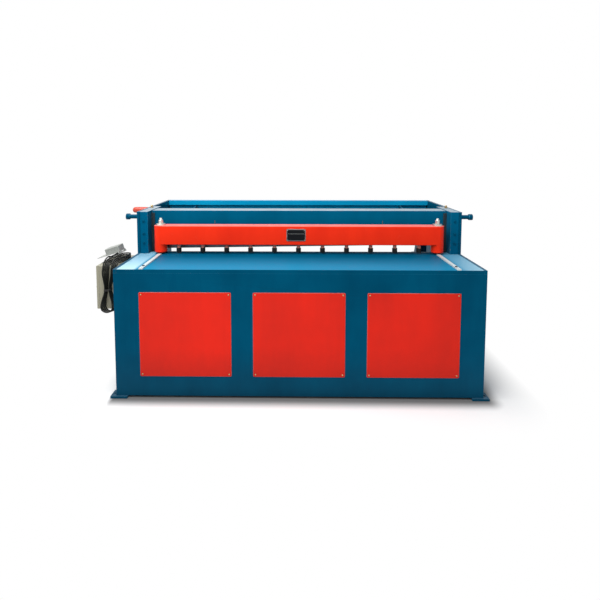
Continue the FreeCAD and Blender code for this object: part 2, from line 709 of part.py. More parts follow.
def posts():
    post = box(POST_INNER, INSIDE, POST_Y, POST_BACK, TABLE_HEIGHT - POST_BELOW_TABLE, FRAME_HEIGHT)
    bolts = []
    bolt_x = (POST_INNER + INSIDE) / 2
    for share in POST_BOLT_SHARES:
        z = TABLE_HEIGHT + share * (FRAME_HEIGHT - TABLE_HEIGHT)
        bolts.append(hexagon("Y", POST_Y - POST_BOLT_HEAD, POST_BOLT_HEAD, POST_BOLT_FLATS, bolt_x, z))
    keep("guide_posts", *both_sides(post))
    keep("guide_post_bolts", *[copy for bolt in bolts for copy in both_sides(bolt)])
    lip_front = CARRIER_FRONT - SLIDE_CLEARANCE
    lip_back = ARM_BACK + SLIDE_CLEARANCE
    foot = TABLE_HEIGHT - GUIDE_BELOW_TABLE
    top = FRAME_HEIGHT - GUIDE_TOP_DROP
    liner = box(POST_INNER - GUIDE_LINER, POST_INNER, lip_front - GUIDE_LIP, lip_back + GUIDE_LIP, foot, top)
    for y in (lip_front - GUIDE_LIP, lip_back):
        liner = liner.fuse(box(POST_INNER - GUIDE_LIP_REACH, POST_INNER, y, y + GUIDE_LIP, foot, top))
    keep("slide_guides", *both_sides(liner.removeSplitter()))
    cup = [
        (0, 0), (0, OIL_CUP_RADIUS), (OIL_CUP_HEIGHT * 0.35, OIL_CUP_RADIUS),
        (OIL_CUP_HEIGHT * 0.35, OIL_CUP_RADIUS * 0.75),
        (OIL_CUP_HEIGHT * 0.75, OIL_CUP_RADIUS * 0.75), (OIL_CUP_HEIGHT, OIL_CUP_RADIUS * 0.4),
        (OIL_CUP_HEIGHT, 0),
    ]
    keep("oil_cups", *both_sides(spin(cup, "Z", vec(HALF_WIDTH - OIL_CUP_INSET, POST_Y + OIL_CUP_BACK,
                                                    FRAME_HEIGHT))))


def blade_bottom(x):
    """Height of the raked cutting edge of the upper blade at x."""
    return TABLE_HEIGHT + UPPER_BLADE_LIFT + BLADE_RAKE * (x + UPPER_BLADE_LENGTH / 2)


def carrier():
    half = CARRIER_HALF
    flange_bottom = CARRIER_TOP - CARRIER_FLANGE
    outline = [
        (-half, blade_bottom(-half) + CARRIER_OVER_BLADE), (half, blade_bottom(half) + CARRIER_OVER_BLADE),
        (half, CARRIER_TOP), (-half, CARRIER_TOP),
    ]
    body = plate_y(outline, CARRIER_FRONT, CARRIER_BACK)
    body = body.fuse(box(-half, half, CARRIER_FRONT, ARM_BACK, flange_bottom, CARRIER_TOP))
    gusset = [(CARRIER_BACK, flange_bottom), (CARRIER_BACK, flange_bottom - GUSSET_DROP),
              (ARM_BACK, flange_bottom)]
    for x in spread(GUSSETS, GUSSET_PITCH):
        body = body.fuse(plate_x(gusset, x - GUSSET_THICKNESS / 2, x + GUSSET_THICKNESS / 2))
    keep("blade_carrier", body.removeSplitter())
    ends = UPPER_BLADE_LENGTH / 2
    blade_outline = [
        (-ends, blade_bottom(-ends)), (ends, blade_bottom(ends)),
        (ends, blade_bottom(ends) + UPPER_BLADE_HEIGHT), (-ends, blade_bottom(-ends) + UPPER_BLADE_HEIGHT),
    ]
    blade = plate_y(blade_outline, UPPER_FRONT, CARRIER_FRONT)
    bolts = []
    for x in spread(BLADE_BOLTS, UPPER_BLADE_LENGTH / BLADE_BOLTS):
        z = blade_bottom(x) + UPPER_BLADE_HEIGHT / 2
        blade = blade.cut(rod("Y", UPPER_FRONT, BLADE_BOLT_DEPTH, BLADE_BOLT_RADIUS, x, z))
        bolts.append(hexagon("Y", UPPER_FRONT + BLADE_BOLT_SUNK, BLADE_BOLT_DEPTH - BLADE_BOLT_SUNK,
                             BLADE_BOLT_FLATS, x, z))
    keep("upper_blade", blade)
    keep("upper_blade_bolts", *bolts)


def carrier_arms():
    slot_half = BLOCK_LENGTH / 2 + ECCENTRICITY + BLOCK_SIDE_CLEARANCE
    slot_rise = BLOCK_HEIGHT / 2 + YOKE_LIFT_CLEARANCE
    yoke_front = SHAFT_Y - slot_half - YOKE_WALL
    yoke_back = SHAFT_Y + slot_half + YOKE_WALL
    yoke_top = PIN_Z + slot_rise + YOKE_WALL
    yoke_bottom = PIN_Z - slot_rise - YOKE_WALL
    outline = [
        (CARRIER_BACK, CARRIER_TOP - CARRIER_FLANGE), (CARRIER_BACK, yoke_top + ARM_FRONT_RISE),
        (yoke_front, yoke_top),
        (yoke_front, yoke_bottom), (yoke_back, yoke_bottom), (yoke_back, yoke_top),
        (ARM_BACK, yoke_top + ARM_BACK_RISE), (ARM_BACK, CARRIER_TOP - CARRIER_FLANGE),
    ]
    arm = plate_x(outline, ARM_INNER, CARRIER_HALF)
    slot = box(ARM_INNER, CARRIER_HALF, SHAFT_Y - slot_half, SHAFT_Y + slot_half, PIN_Z - slot_rise,
               PIN_Z + slot_rise)
    slot = rounded(slot, YOKE_CORNER, lambda run, middle: abs(run.x) > 0.9)
    keep("carrier_arms", *both_sides(arm.cut(slot)))
    block_x = ARM_INNER + DRIVE_SIDE_GAP
    block = box(block_x, CARRIER_HALF - DRIVE_SIDE_GAP, PIN_Y - BLOCK_LENGTH / 2, PIN_Y + BLOCK_LENGTH / 2,
                PIN_Z - BLOCK_HEIGHT / 2, PIN_Z + BLOCK_HEIGHT / 2)
    bore = rod("X", block_x, ARM_THICKNESS, CRANK_PIN_RADIUS + RUNNING_CLEARANCE, PIN_Y, PIN_Z)
    right, left = both_sides(block.cut(bore))
    keep("right_slide_block", right)
    keep("left_slide_block", left)
    disc_outer = ARM_INNER - DRIVE_SIDE_GAP
    shaft = rod("X", -disc_outer, 2 * disc_outer, SHAFT_RADIUS, SHAFT_Y, SHAFT_Z)
    disc = rod("X", disc_outer - CRANK_DISC_THICKNESS, CRANK_DISC_THICKNESS, CRANK_DISC_RADIUS, SHAFT_Y,
               SHAFT_Z)
    pin = rod("X", disc_outer, CARRIER_HALF - disc_outer, CRANK_PIN_RADIUS, PIN_Y, PIN_Z)
    for piece in both_sides(disc.fuse(pin)):
        shaft = shaft.fuse(piece)
    keep("main_shaft", shaft.removeSplitter())


def tooth_outline(module, teeth, backlash, turn):
    """Points of a spur gear with involute flanks of two chords, in the plane of the gear."""
    pitch = module * teeth / 2
    base = pitch * math.cos(math.radians(20))
    tip = pitch + module
    root = pitch - 1.25 * module
    involute = math.tan(math.radians(20)) - math.radians(20)
    half = (math.pi * module / 2 - backlash / 2) / 2 / pitch
    flank = []
    for step in range(3):
        radius = base + (tip - base) * step / 2
        roll = math.acos(min(1.0, base / radius))
        flank.append((radius, half + involute - (math.tan(roll) - roll)))
    if root < base:
        flank = [(root, flank[0][1])] + flank
    else:
        flank = [(root, half + involute)] + [point for point in flank if point[0] > root]
    points = []
    for index in range(teeth):
        centre = turn + 2 * math.pi * index / teeth
        points += [(radius, centre - angle) for radius, angle in flank]
        points += [(radius, centre + angle) for radius, angle in reversed(flank)]
    return [(radius * math.cos(angle), radius * math.sin(angle)) for radius, angle in points]


def spur(module, teeth, backlash, turn, x0, x1, y, z):
    outline = [(y + a, z + b) for a, b in tooth_outline(module, teeth, backlash, turn)]
    return plate_x(outline, x0, x1)


def gears():
    line = math.radians(COUNTER_ANGLE)
    gear = spur(GEAR_MODULE, GEAR_TEETH, BACKLASH, line, GEAR_INNER, GEAR_INNER + GEAR_WIDTH, SHAFT_Y,
                SHAFT_Z)
    hub_left = GEAR_INNER - GEAR_HUB_LEFT
    hub_width = GEAR_WIDTH + GEAR_HUB_LEFT + GEAR_HUB_RIGHT
    hub = rod("X", hub_left, hub_width, GEAR_HUB_RADIUS, SHAFT_Y, SHAFT_Z)
    recess = rod("X", GEAR_INNER, GEAR_RECESS, GEAR_RIM_RADIUS, SHAFT_Y, SHAFT_Z)
    gear = gear.cut(recess).fuse(hub)
    for index in range(GEAR_HOLES):
        turn = 2 * math.pi * index / GEAR_HOLES
        y = SHAFT_Y + GEAR_HOLE_CIRCLE * math.cos(turn)
        z = SHAFT_Z + GEAR_HOLE_CIRCLE * math.sin(turn)
        gear = gear.cut(rod("X", GEAR_INNER, GEAR_WIDTH, GEAR_HOLE_RADIUS, y, z))
    bore = rod("X", hub_left, hub_width, SHAFT_RADIUS + RUNNING_CLEARANCE, SHAFT_Y, SHAFT_Z)
    keep("main_gear", gear.cut(bore).removeSplitter())
    middle = GEAR_INNER + GEAR_WIDTH / 2
    half_tooth = math.pi / PINION_TEETH
    pinion = spur(GEAR_MODULE, PINION_TEETH, BACKLASH, line + math.pi + half_tooth,
                  middle - PINION_WIDTH / 2, middle + PINION_WIDTH / 2, COUNTER_Y, COUNTER_Z)
    start = PEDESTAL_X - SHAFT_END_GAP
    shaft = rod("X", start, INSIDE - SHAFT_END_GAP - start, COUNTER_RADIUS, COUNTER_Y, COUNTER_Z)
    keep("pinion_shaft", pinion.fuse(shaft).removeSplitter())


def grooved_rim(radius, width, left):
    """Side view of a belt wheel: (along, radius) points with one V groove for each belt."""
    points = [(left, 0), (left, radius)]
    middle = left + width / 2
    for place in spread(BELTS, BELT_PITCH):
        groove = middle + place
        foot = BELT_WIDTH / 2 + SEAT_GAP
        points += [(groove - foot - GROOVE_FLARE, radius), (groove - foot, radius - BELT_SEAT)]
        points += [(groove + foot, radius - BELT_SEAT), (groove + foot + GROOVE_FLARE, radius)]
    return points + [(left + width, radius), (left + width, 0)]


def belt_loop(offset):
    """Closed outline in the YZ plane round both belt wheels, offset from the groove floors."""
    big = FLYWHEEL_RADIUS - BELT_SEAT + offset
    small = PULLEY_RADIUS - BELT_SEAT + offset
    run = math.hypot(MOTOR_Y - COUNTER_Y, MOTOR_Z - COUNTER_Z)
    line = math.atan2(MOTOR_Z - COUNTER_Z, MOTOR_Y - COUNTER_Y)
    lean = math.acos((big - small) / run)

    def at(y, z, radius, angle):
        return vec(0, y + radius * math.cos(angle), z + radius * math.sin(angle))

    a = at(COUNTER_Y, COUNTER_Z, big, line + lean)
    b = at(COUNTER_Y, COUNTER_Z, big, line + math.pi)
    c = at(COUNTER_Y, COUNTER_Z, big, line - lean)
    d = at(MOTOR_Y, MOTOR_Z, small, line - lean)
    e = at(MOTOR_Y, MOTOR_Z, small, line)
    f = at(MOTOR_Y, MOTOR_Z, small, line + lean)
    edges = [Part.Arc(a, b, c).toShape(), Part.LineSegment(c, d).toShape()]
    edges += [Part.Arc(d, e, f).toShape(), Part.LineSegment(f, a).toShape()]
    return Part.Face(Part.Wire(edges))


def belt_drive():
    wheel = spin(grooved_rim(FLYWHEEL_RADIUS, FLYWHEEL_WIDTH, 0), "X",
                 vec(FLYWHEEL_LEFT, COUNTER_Y, COUNTER_Z))
    right = FLYWHEEL_LEFT + FLYWHEEL_WIDTH
    recess = right - FLYWHEEL_RECESS
    ring = rod("X", recess, FLYWHEEL_RECESS, FLYWHEEL_RIM_RADIUS, COUNTER_Y, COUNTER_Z)
    ring = ring.cut(rod("X", recess, FLYWHEEL_RECESS, FLYWHEEL_HUB_RADIUS, COUNTER_Y, COUNTER_Z))
    wheel = wheel.cut(ring).cut(rod("X", FLYWHEEL_LEFT, FLYWHEEL_WIDTH, COUNTER_RADIUS, COUNTER_Y, COUNTER_Z))
    keep("flywheel", wheel)
    belts_middle = FLYWHEEL_LEFT + FLYWHEEL_WIDTH / 2
    pulley_left = belts_middle - PULLEY_WIDTH / 2
    pulley = spin(grooved_rim(PULLEY_RADIUS, PULLEY_WIDTH, 0), "X", vec(pulley_left, MOTOR_Y, MOTOR_Z))
    shaft_left = pulley_left - MOTOR_OVERHANG - MOTOR_SHAFT_IN
    shaft = rod("X", shaft_left, pulley_left - shaft_left, MOTOR_SHAFT_RADIUS, MOTOR_Y, MOTOR_Z)
    keep("motor_pulley", pulley.fuse(shaft).removeSplitter())
    band = belt_loop(SEAT_GAP + BELT_THICKNESS).cut(belt_loop(SEAT_GAP))
    loops = []
    for place in spread(BELTS, BELT_PITCH):
        loop = band.extrude(vec(BELT_WIDTH, 0, 0))
        loop.translate(vec(belts_middle + place - BELT_WIDTH / 2, 0, 0))
        loops += loop.Solids
    keep("drive_belts", *loops)
    motor(pulley_left)


def motor(pulley_left):
    right = pulley_left - MOTOR_OVERHANG
    left = right - MOTOR_LENGTH
    base_top = CHANNEL_TOP + MOTOR_BASE
    core = MOTOR_RADIUS - MOTOR_FIN_HEIGHT
    barrel = rod("X", left + MOTOR_COWL, MOTOR_LENGTH - MOTOR_COWL - MOTOR_BELL, core, MOTOR_Y, MOTOR_Z)
    half_fin = MOTOR_FIN_THICKNESS / 2
    for index in range(MOTOR_FINS):
        fin = box(left + MOTOR_COWL, right - MOTOR_BELL, -half_fin, half_fin, 0, MOTOR_RADIUS)
        fin.rotate(vec(0, 0, 0), vec(1, 0, 0), 360.0 * (index + 0.5) / MOTOR_FINS)
        fin.translate(vec(0, MOTOR_Y, MOTOR_Z))
        barrel = barrel.fuse(fin)
    bell = [
        (right - MOTOR_BELL, 0), (right - MOTOR_BELL, MOTOR_RADIUS), (right - MOTOR_BELL / 2, MOTOR_RADIUS),
        (right, MOTOR_NOSE_RADIUS), (right, 0),
    ]
    cowl = [
        (left, 0), (left, MOTOR_RADIUS - MOTOR_COWL_EDGE), (left + MOTOR_COWL_EDGE, MOTOR_RADIUS),
        (left + MOTOR_COWL, MOTOR_RADIUS), (left + MOTOR_COWL, 0),
    ]
    barrel = barrel.fuse(spin(bell, "X", vec(0, MOTOR_Y, MOTOR_Z)))
    barrel = barrel.fuse(spin(cowl, "X", vec(0, MOTOR_Y, MOTOR_Z)))
    foot_left = left + MOTOR_FOOT_LEFT
    foot_right = right - MOTOR_FOOT_RIGHT
    foot_top = base_top + MOTOR_FOOT_THICKNESS
    foot = box(foot_left, foot_right, MOTOR_Y - MOTOR_FOOT_HALF, MOTOR_Y + MOTOR_FOOT_HALF, base_top,
               foot_top)
    web = box(foot_left, foot_right, MOTOR_Y - MOTOR_WEB_HALF, MOTOR_Y + MOTOR_WEB_HALF, foot_top, MOTOR_Z)
    terminals = box(foot_left + TERMINAL_INSET, foot_right - TERMINAL_INSET, MOTOR_Y - TERMINAL_HALF,
                    MOTOR_Y + TERMINAL_HALF, MOTOR_Z, MOTOR_Z + MOTOR_RADIUS + TERMINAL_RISE)
    bore = rod("X", right - MOTOR_SHAFT_IN - SEAT_GAP, MOTOR_SHAFT_IN + SEAT_GAP,
               MOTOR_SHAFT_RADIUS + RUNNING_CLEARANCE, MOTOR_Y, MOTOR_Z)
    keep("motor", barrel.fuse(foot).fuse(web).fuse(terminals).removeSplitter().cut(bore))


def chute_height(y):
    """Upper face of the chute at y."""
    return CHUTE_START_Z - CHUTE_SLOPE * (y - BED_BACK)


def drive_frame():
    bottom = CHANNEL_TOP
    drop = CHUTE_THICKNESS + 2 * SEAT_GAP
    low = [
        (PEDESTAL_FRONT, bottom), (PEDESTAL_BACK, bottom),
        (PEDESTAL_BACK, chute_height(PEDESTAL_BACK) - drop),
        (PEDESTAL_FRONT, chute_height(PEDESTAL_FRONT) - drop),
    ]
    tall_top = COUNTER_Z + PEDESTAL_OVER_SHAFT
    tall = low[:2] + [(PEDESTAL_BACK, tall_top), (PEDESTAL_FRONT, tall_top)]
    window_front = PEDESTAL_FRONT + PEDESTAL_WINDOW_EDGE
    window_back = PEDESTAL_BACK - PEDESTAL_WINDOW_EDGE
    sill = bottom + PEDESTAL_WINDOW_EDGE
    head = sill + PEDESTAL_WINDOW_HEIGHT
    window = [(window_front, sill), (window_back, sill), (window_back, head), (window_front, head)]
    pedestals = []
    for outline, x in ((low, -PEDESTAL_OUTER), (tall, PEDESTAL_X)):
        plate = plate_x(outline, x, x + PEDESTAL_THICKNESS)
        plate = plate.cut(plate_x(window, x, x + PEDESTAL_THICKNESS))
        plate = plate.cut(rod("X", x, PEDESTAL_THICKNESS, SHAFT_RADIUS + PEDESTAL_HOLE_GAP, SHAFT_Y, SHAFT_Z))
        if x > 0:
            hole = rod("X", x, PEDESTAL_THICKNESS, COUNTER_RADIUS + PEDESTAL_HOLE_GAP, COUNTER_Y, COUNTER_Z)
            plate = plate.cut(hole)
        pedestals.append(plate)
    keep("drive_pedestals", *pedestals)
    bearings = []
    for x, way, y, z, radius in (
        (-PEDESTAL_X, 1, SHAFT_Y, SHAFT_Z, SHAFT_RADIUS),
        (PEDESTAL_X, -1, SHAFT_Y, SHAFT_Z, SHAFT_RADIUS),
        (PEDESTAL_OUTER, 1, COUNTER_Y, COUNTER_Z, COUNTER_RADIUS),
        (INSIDE, -1, COUNTER_Y, COUNTER_Z, COUNTER_RADIUS),
    ):
        bore = radius + RUNNING_CLEARANCE
        profile = [
            (0, bore), (0, BEARING_FLANGE_RADIUS), (BEARING_FLANGE, BEARING_FLANGE_RADIUS),
            (BEARING_LENGTH, radius + BEARING_BOSS), (BEARING_LENGTH, bore),
        ]
        bearings.append(spin([(way * a, r) for a, r in profile], "X", vec(x, y, z)))
    keep("shaft_bearings", *bearings)
    front = BED_BACK + SEAT_GAP
    chute = [
        (front, CHUTE_START_Z), (CHUTE_BACK, chute_height(CHUTE_BACK)),
        (CHUTE_BACK, chute_height(CHUTE_BACK) - CHUTE_THICKNESS),
        (front + CHUTE_THICKNESS, CHUTE_START_Z - CHUTE_THICKNESS),
        (front + CHUTE_THICKNESS, CHUTE_START_Z - CHUTE_LIP), (front, CHUTE_START_Z - CHUTE_LIP),
    ]
    keep("rear_chute", plate_x(chute, CHUTE_LEFT, PEDESTAL_X - SEAT_GAP))


def guard_outline(inset):
    """Outline of the belt guard in the YZ plane, drawn in by inset."""
    reach = FLYWHEEL_RADIUS + GUARD_CLEARANCE - inset
    small = PULLEY_RADIUS + GUARD_CLEARANCE - inset
    line = math.radians(COUNTER_ANGLE)
    near = FLYWHEEL_RADIUS + GUARD_NEAR_SHAFT - inset
    corner_z = COUNTER_Z + (reach * math.cos(line) - near) / math.sin(line)
    corner_y = COUNTER_Y + (reach * math.sin(line) - near) / math.cos(line)
    return [
        (COUNTER_Y - reach, corner_z), (COUNTER_Y - reach, GUARD_TOP - inset),
        (COUNTER_Y - GUARD_NECK_BACK - inset, GUARD_TOP - inset),
        (COUNTER_Y - GUARD_NECK_FOOT - inset, COUNTER_Z + reach),
        (COUNTER_Y + GUARD_TOP_BACK, COUNTER_Z + reach), (COUNTER_Y + reach, COUNTER_Z + reach / 2),
        (COUNTER_Y + reach + GUARD_SHOULDER_BACK, MOTOR_Z + GUARD_SHOULDER_RISE),
        (MOTOR_Y + small, MOTOR_Z - small * 0.5), (MOTOR_Y + small * 0.5, MOTOR_Z - small),
        (MOTOR_Y - small, MOTOR_Z - small), (corner_y, COUNTER_Z - reach),
    ]


def guard():
    shell = plate_x(guard_outline(0), GUARD_LEFT, GUARD_RIGHT)
    shell = rounded(shell, GUARD_CORNER, lambda run, middle: abs(run.x) > 0.9)
    hollow = plate_x(guard_outline(GUARD_WALL), GUARD_LEFT + GUARD_WALL, GUARD_RIGHT - GUARD_WALL)
    hollow = rounded(hollow, GUARD_CORNER - GUARD_WALL, lambda run, middle: abs(run.x) > 0.9)
    shell = shell.cut(hollow)
    hole = COUNTER_RADIUS + GUARD_SHAFT_GAP
    shell = shell.cut(rod("X", GUARD_LEFT, GUARD_RIGHT - GUARD_LEFT, hole, COUNTER_Y, COUNTER_Z))
    shell = shell.cut(rod("X", GUARD_LEFT, GUARD_WALL, MOTOR_SHAFT_RADIUS + GUARD_SHAFT_GAP, MOTOR_Y,
                          MOTOR_Z))
    foot_top = MOTOR_Z - PULLEY_RADIUS - GUARD_CLEARANCE + GUARD_WALL / 2
    foot_front = CHANNEL_FRONTS[2] + GUARD_FOOT_INSET
    foot_back = CHANNEL_FRONTS[2] + CHANNEL_DEPTH - GUARD_FOOT_INSET
    foot = box(GUARD_LEFT, GUARD_RIGHT, foot_front, foot_back, CHANNEL_TOP, foot_top)
    foot = foot.cut(box(GUARD_LEFT + GUARD_FOOT_PLATE, GUARD_RIGHT - GUARD_FOOT_PLATE, foot_front, foot_back,
                        CHANNEL_TOP, foot_top - GUARD_FOOT_PLATE))
    keep("drive_guard", shell.fuse(foot).removeSplitter())


def hold_down():
    beam = box(-COLUMN_X, COLUMN_X, BEAM_Y, BEAM_Y + BEAM_DEPTH, BEAM_BOTTOM, BEAM_TOP)
    beam = rounded(beam, BEAM_EDGE, lambda run, middle: abs(run.x) > 0.9)
    inner_half = COLUMN_X - COLUMN_RADIUS - BEAM_WALL
    cavity = box(-inner_half, inner_half, BEAM_Y + BEAM_WALL, BEAM_Y + BEAM_DEPTH - BEAM_WALL,
                 BEAM_BOTTOM + BEAM_WALL, BEAM_TOP - BEAM_WALL)
    beam = beam.cut(cavity)
    bore = COLUMN_RADIUS - COLUMN_WALL
    for side in (-1, 1):
        column = rod("Z", COLUMN_BOTTOM, BEAM_TOP - COLUMN_BOTTOM, COLUMN_RADIUS, side * COLUMN_X, COLUMN_Y)
        rim = [edge for edge in column.Edges if edge.BoundBox.ZMax < COLUMN_BOTTOM + 1
               and edge.BoundBox.XLength > 1]
        column = column.makeFillet(COLUMN_ROUNDING, rim)
        beam = beam.fuse(column)
        well = rod("Z", COLUMN_BOTTOM, BEAM_TOP - COLUMN_CAP - COLUMN_BOTTOM, bore, side * COLUMN_X, COLUMN_Y)
        beam = beam.cut(well)
        stud_bore = STUD_RADIUS + STUD_BORE_CLEARANCE
        beam = beam.cut(rod("Z", BEAM_TOP - COLUMN_CAP, COLUMN_CAP, stud_bore, side * COLUMN_X, COLUMN_Y))
        pin_y = BEAM_Y + BEAM_DEPTH - BEAM_PIN_INSET
        beam = beam.fuse(rod("Z", BEAM_TOP, BEAM_PIN_HEIGHT, BEAM_PIN_RADIUS, side * BEAM_PIN_X, pin_y))
    keep("hold_down_beam", beam.removeSplitter())
    clamp_y = COLUMN_Y
    pad_bottom = TABLE_HEIGHT + CLAMP_LIFT
    pad_top = pad_bottom + CLAMP_PAD_HEIGHT
    stems = []
    pads = []
    for x in spread(CLAMPS, CLAMP_PITCH):
        stems.append(rod("Z", pad_top, BEAM_BOTTOM - pad_top, CLAMP_STEM_RADIUS, x, clamp_y))
        pads.append(rod("Z", pad_bottom, CLAMP_PAD_HEIGHT, CLAMP_PAD_RADIUS, x, clamp_y))
    keep("clamp_stems", *stems)
    keep("clamp_pads", *pads)
    plate_top = BEAM_TOP - PLATE_CENTRE_DROP + PLATE_HEIGHT / 2
    plate = box(PLATE_X - PLATE_WIDTH / 2, PLATE_X + PLATE_WIDTH / 2, BEAM_Y - PLATE_THICKNESS, BEAM_Y,
                plate_top - PLATE_HEIGHT, plate_top)
    keep("nameplate", rounded(plate, PLATE_CORNER, lambda run, middle: abs(run.y) > 0.9))


def arc_between(start, heading, end):
    """Arc that leaves start along heading and stops at end, or a line if it hardly bends."""
    chord = end - start
    along = vec(chord.x, chord.y, chord.z).normalize()
    lean = heading - along * heading.dot(along)
    half_turn = math.atan2(lean.Length, heading.dot(along))
    rise = chord.Length / 2 * math.tan(half_turn / 2)
    if rise < 0.002:
        return Part.LineSegment(start, end).toShape()
    return Part.Arc(start, start + chord * 0.5 + lean.normalize() * rise, end).toShape()


def curved_path(stations):
    """Wire of two tangent arcs between each pair of (place, heading) stations."""
    edges = []
    for (a, out), (b, into) in zip(stations, stations[1:]):
        gap = b - a
        both = gap.dot(out + into)
        fold = 2 * (1 - out.dot(into))
        if fold < 1e-9:
            reach = gap.dot(gap) / (4 * gap.dot(into))
        else:
            reach = (math.sqrt(both * both + fold * gap.dot(gap)) - both) / fold
        middle = (a + b + (out - into) * reach) * 0.5
        edges.append(arc_between(a, out, middle))
        tail = arc_between(b, into * -1, middle)
        edges.append(tail)
    return Part.Wire(edges)


def tube(path, heading):
    """Cable along a wire that leaves its start along heading, with sides as CABLE_SIDES says."""
    start = path.OrderedVertexes[0].Point
    across = heading.cross(vec(0, 1, 0) if abs(heading.y) < 0.9 else vec(1, 0, 0)).normalize()
    other = heading.cross(across)
    corners = []
    for side in range(CABLE_SIDES + 1):
        turn = 2 * math.pi * side / CABLE_SIDES
        reach = across * math.cos(turn) + other * math.sin(turn)
        corners.append(start + reach * CABLE_CORNER)
    return path.makePipeShell([Part.makePolygon(corners)], True, False)


def bent_path(points):
    """Straight runs joined by tangent arcs, each as large as its two runs allow; prints the radii."""
    edges = []
    radii = []
    last = points[0]
    for before, corner, after in zip(points, points[1:], points[2:]):
        into = (corner - before).normalize()
        out = (after - corner).normalize()
        half_turn = into.getAngle(out) / 2
        cut = 0.45 * min((corner - before).Length, (after - corner).Length)
        radii.append(round(cut / math.tan(half_turn), 1))
        start = corner - into * cut
        end = corner + out * cut
        bulge = (out - into).normalize() * (cut / math.tan(half_turn) * (1 / math.cos(half_turn) - 1))
        edges.append(Part.LineSegment(last, start).toShape())
        edges.append(Part.Arc(start, corner + bulge, end).toShape())
        last = end
    edges.append(Part.LineSegment(last, points[-1]).toShape())
    print("cable radii", radii)
    return Part.Wire(edges)


def hank_frame():
    """Line that the hank follows: along the cabinet's top, round its front edge and down."""
    inner = HANK_FOLD - CABLE_RADIUS
    corner = (inner - SEAT_GAP) / math.sqrt(2)
    centre = (CABINET_Y + corner, CABINET_TOP - corner)
    back = (FRONT + HANK_BACK - centre[0], CABINET_TOP + SEAT_GAP - centre[1])
    reach = math.hypot(*back)
    lean = math.atan2(back[1], back[0]) + math.acos(inner / reach)
    return inner, centre, math.sqrt(reach * reach - inner * inner), lean


def hank_point(u, side, layer):
    """Place on a strand: u along the hank from its back fold, side -1 or 1, layer from the cabinet."""
    inner, centre, top_run, lean = hank_frame()
    height = CABLE_CORNER + HANK_STEP * layer
    bend = inner * (math.pi - lean)
    ease = min(1.0, max(0.0, (u - top_run) / HANK_SHIFT_LENGTH + 1))
    x = HANK_X_BACK + (HANK_X_FRONT - HANK_X_BACK) * ease * ease * (3 - 2 * ease)
    if u < top_run:
        y = centre[0] + (inner + height) * math.cos(lean) + (top_run - u) * math.sin(lean)
        z = centre[1] + (inner + height) * math.sin(lean) - (top_run - u) * math.cos(lean)
    elif u < top_run + bend:
        turn = lean + (u - top_run) / inner
        y = centre[0] + (inner + height) * math.cos(turn)
        z = centre[1] + (inner + height) * math.sin(turn)
    else:
        y = centre[0] - inner - height
        z = centre[1] - (u - top_run - bend)
    near = (z - HANK_WAIST_Z) / HANK_WAIST_LENGTH
    draw = math.cos(math.pi / 2 * near) ** 2 if abs(near) < 1 and u > top_run + bend else 0.0
    half = HANK_FOLD - draw * (HANK_WAIST_LEFT if side < 0 else HANK_WAIST_RIGHT)
    return vec(x + side * half, y, z)


def hank_stations():
    """Stations of the whole hank, from its free end at the gland to its free end at the switch."""
    inner, centre, top_run, lean = hank_frame()
    bend = inner * (math.pi - lean)
    end = top_run + bend + centre[1] - HANK_BOTTOM
    run_end = end - HANK_FOLD
    waist = top_run + bend + centre[1] - HANK_WAIST_Z
    start = top_run + bend + centre[1] - HANK_START_Z
    places = [HANK_FOLD, top_run - HANK_SHIFT_LENGTH, top_run - HANK_SHIFT_LENGTH / 2, top_run]
    places += [top_run + bend / 2, top_run + bend]
    places += [waist - HANK_WAIST_LENGTH * 0.6, waist, waist + HANK_WAIST_LENGTH * 0.45, run_end]
    stations = []

    def strand(side, low, climb, forward, span):
        chosen = [u for u in places if span[0] - 0.001 <= u <= span[1] + 0.001]
        chosen = chosen if forward else list(reversed(chosen))
        for u in chosen:
            step = 0.5
            here = hank_point(u, side, low + climb * (u - HANK_FOLD) / (run_end - HANK_FOLD))
            ahead = hank_point(u + step, side, low + climb * (u + step - HANK_FOLD) / (run_end - HANK_FOLD))
            behind = hank_point(u - step, side, low + climb * (u - step - HANK_FOLD) / (run_end - HANK_FOLD))
            heading = (ahead - behind).normalize()
            stations.append((here, heading if forward else heading * -1))

    def fold(u, outward, layer):
        tip = hank_point(u, -1, layer)
        other = hank_point(u, 1, layer)
        apex = (tip + other) * 0.5
        stations.append((apex, outward))

    places.append(start)
    places.sort()
    for loop in range(HANK_LOOPS):
        strand(-1, loop, 0, False, (HANK_FOLD, start if loop == 0 else run_end))
        if loop == 0:
            places.remove(start)
        fold(0, vec(1, 0, 0), loop)
        strand(1, loop, 1, True, (HANK_FOLD, run_end))
        fold(end, vec(-1, 0, 0), loop + 1)
    strand(-1, HANK_LOOPS, 0, False, (top_run + bend / 2, run_end))
    return stations


def least_gap(path):
    """Least clear distance of the cable to itself, measured on points of its line."""
    spacing = CABLE_CORNER
    points = path.discretize(Number=int(path.Length / spacing))
    skip = 9
    least = 1e9
    for index, point in enumerate(points):
        for other in points[index + skip:]:
            least = min(least, (point - other).Length)
    return least - 2 * CABLE_CORNER


def switch_place(x, y, z):
    """World place of a point given in the foot switch's own frame."""
    tilt = math.radians(SWITCH_TILT)
    return vec(x * math.cos(tilt) - z * math.sin(tilt) - SWITCH_LEFT, FRONT + SWITCH_FRONT + y,
               CABINET_TOP + SEAT_GAP + x * math.sin(tilt) + z * math.cos(tilt))


def cable_place(offset):
    """World place of a point of a free stretch."""
    return vec(offset[0] - HALF_WIDTH, offset[1] + FRONT, offset[2] + CABINET_TOP)


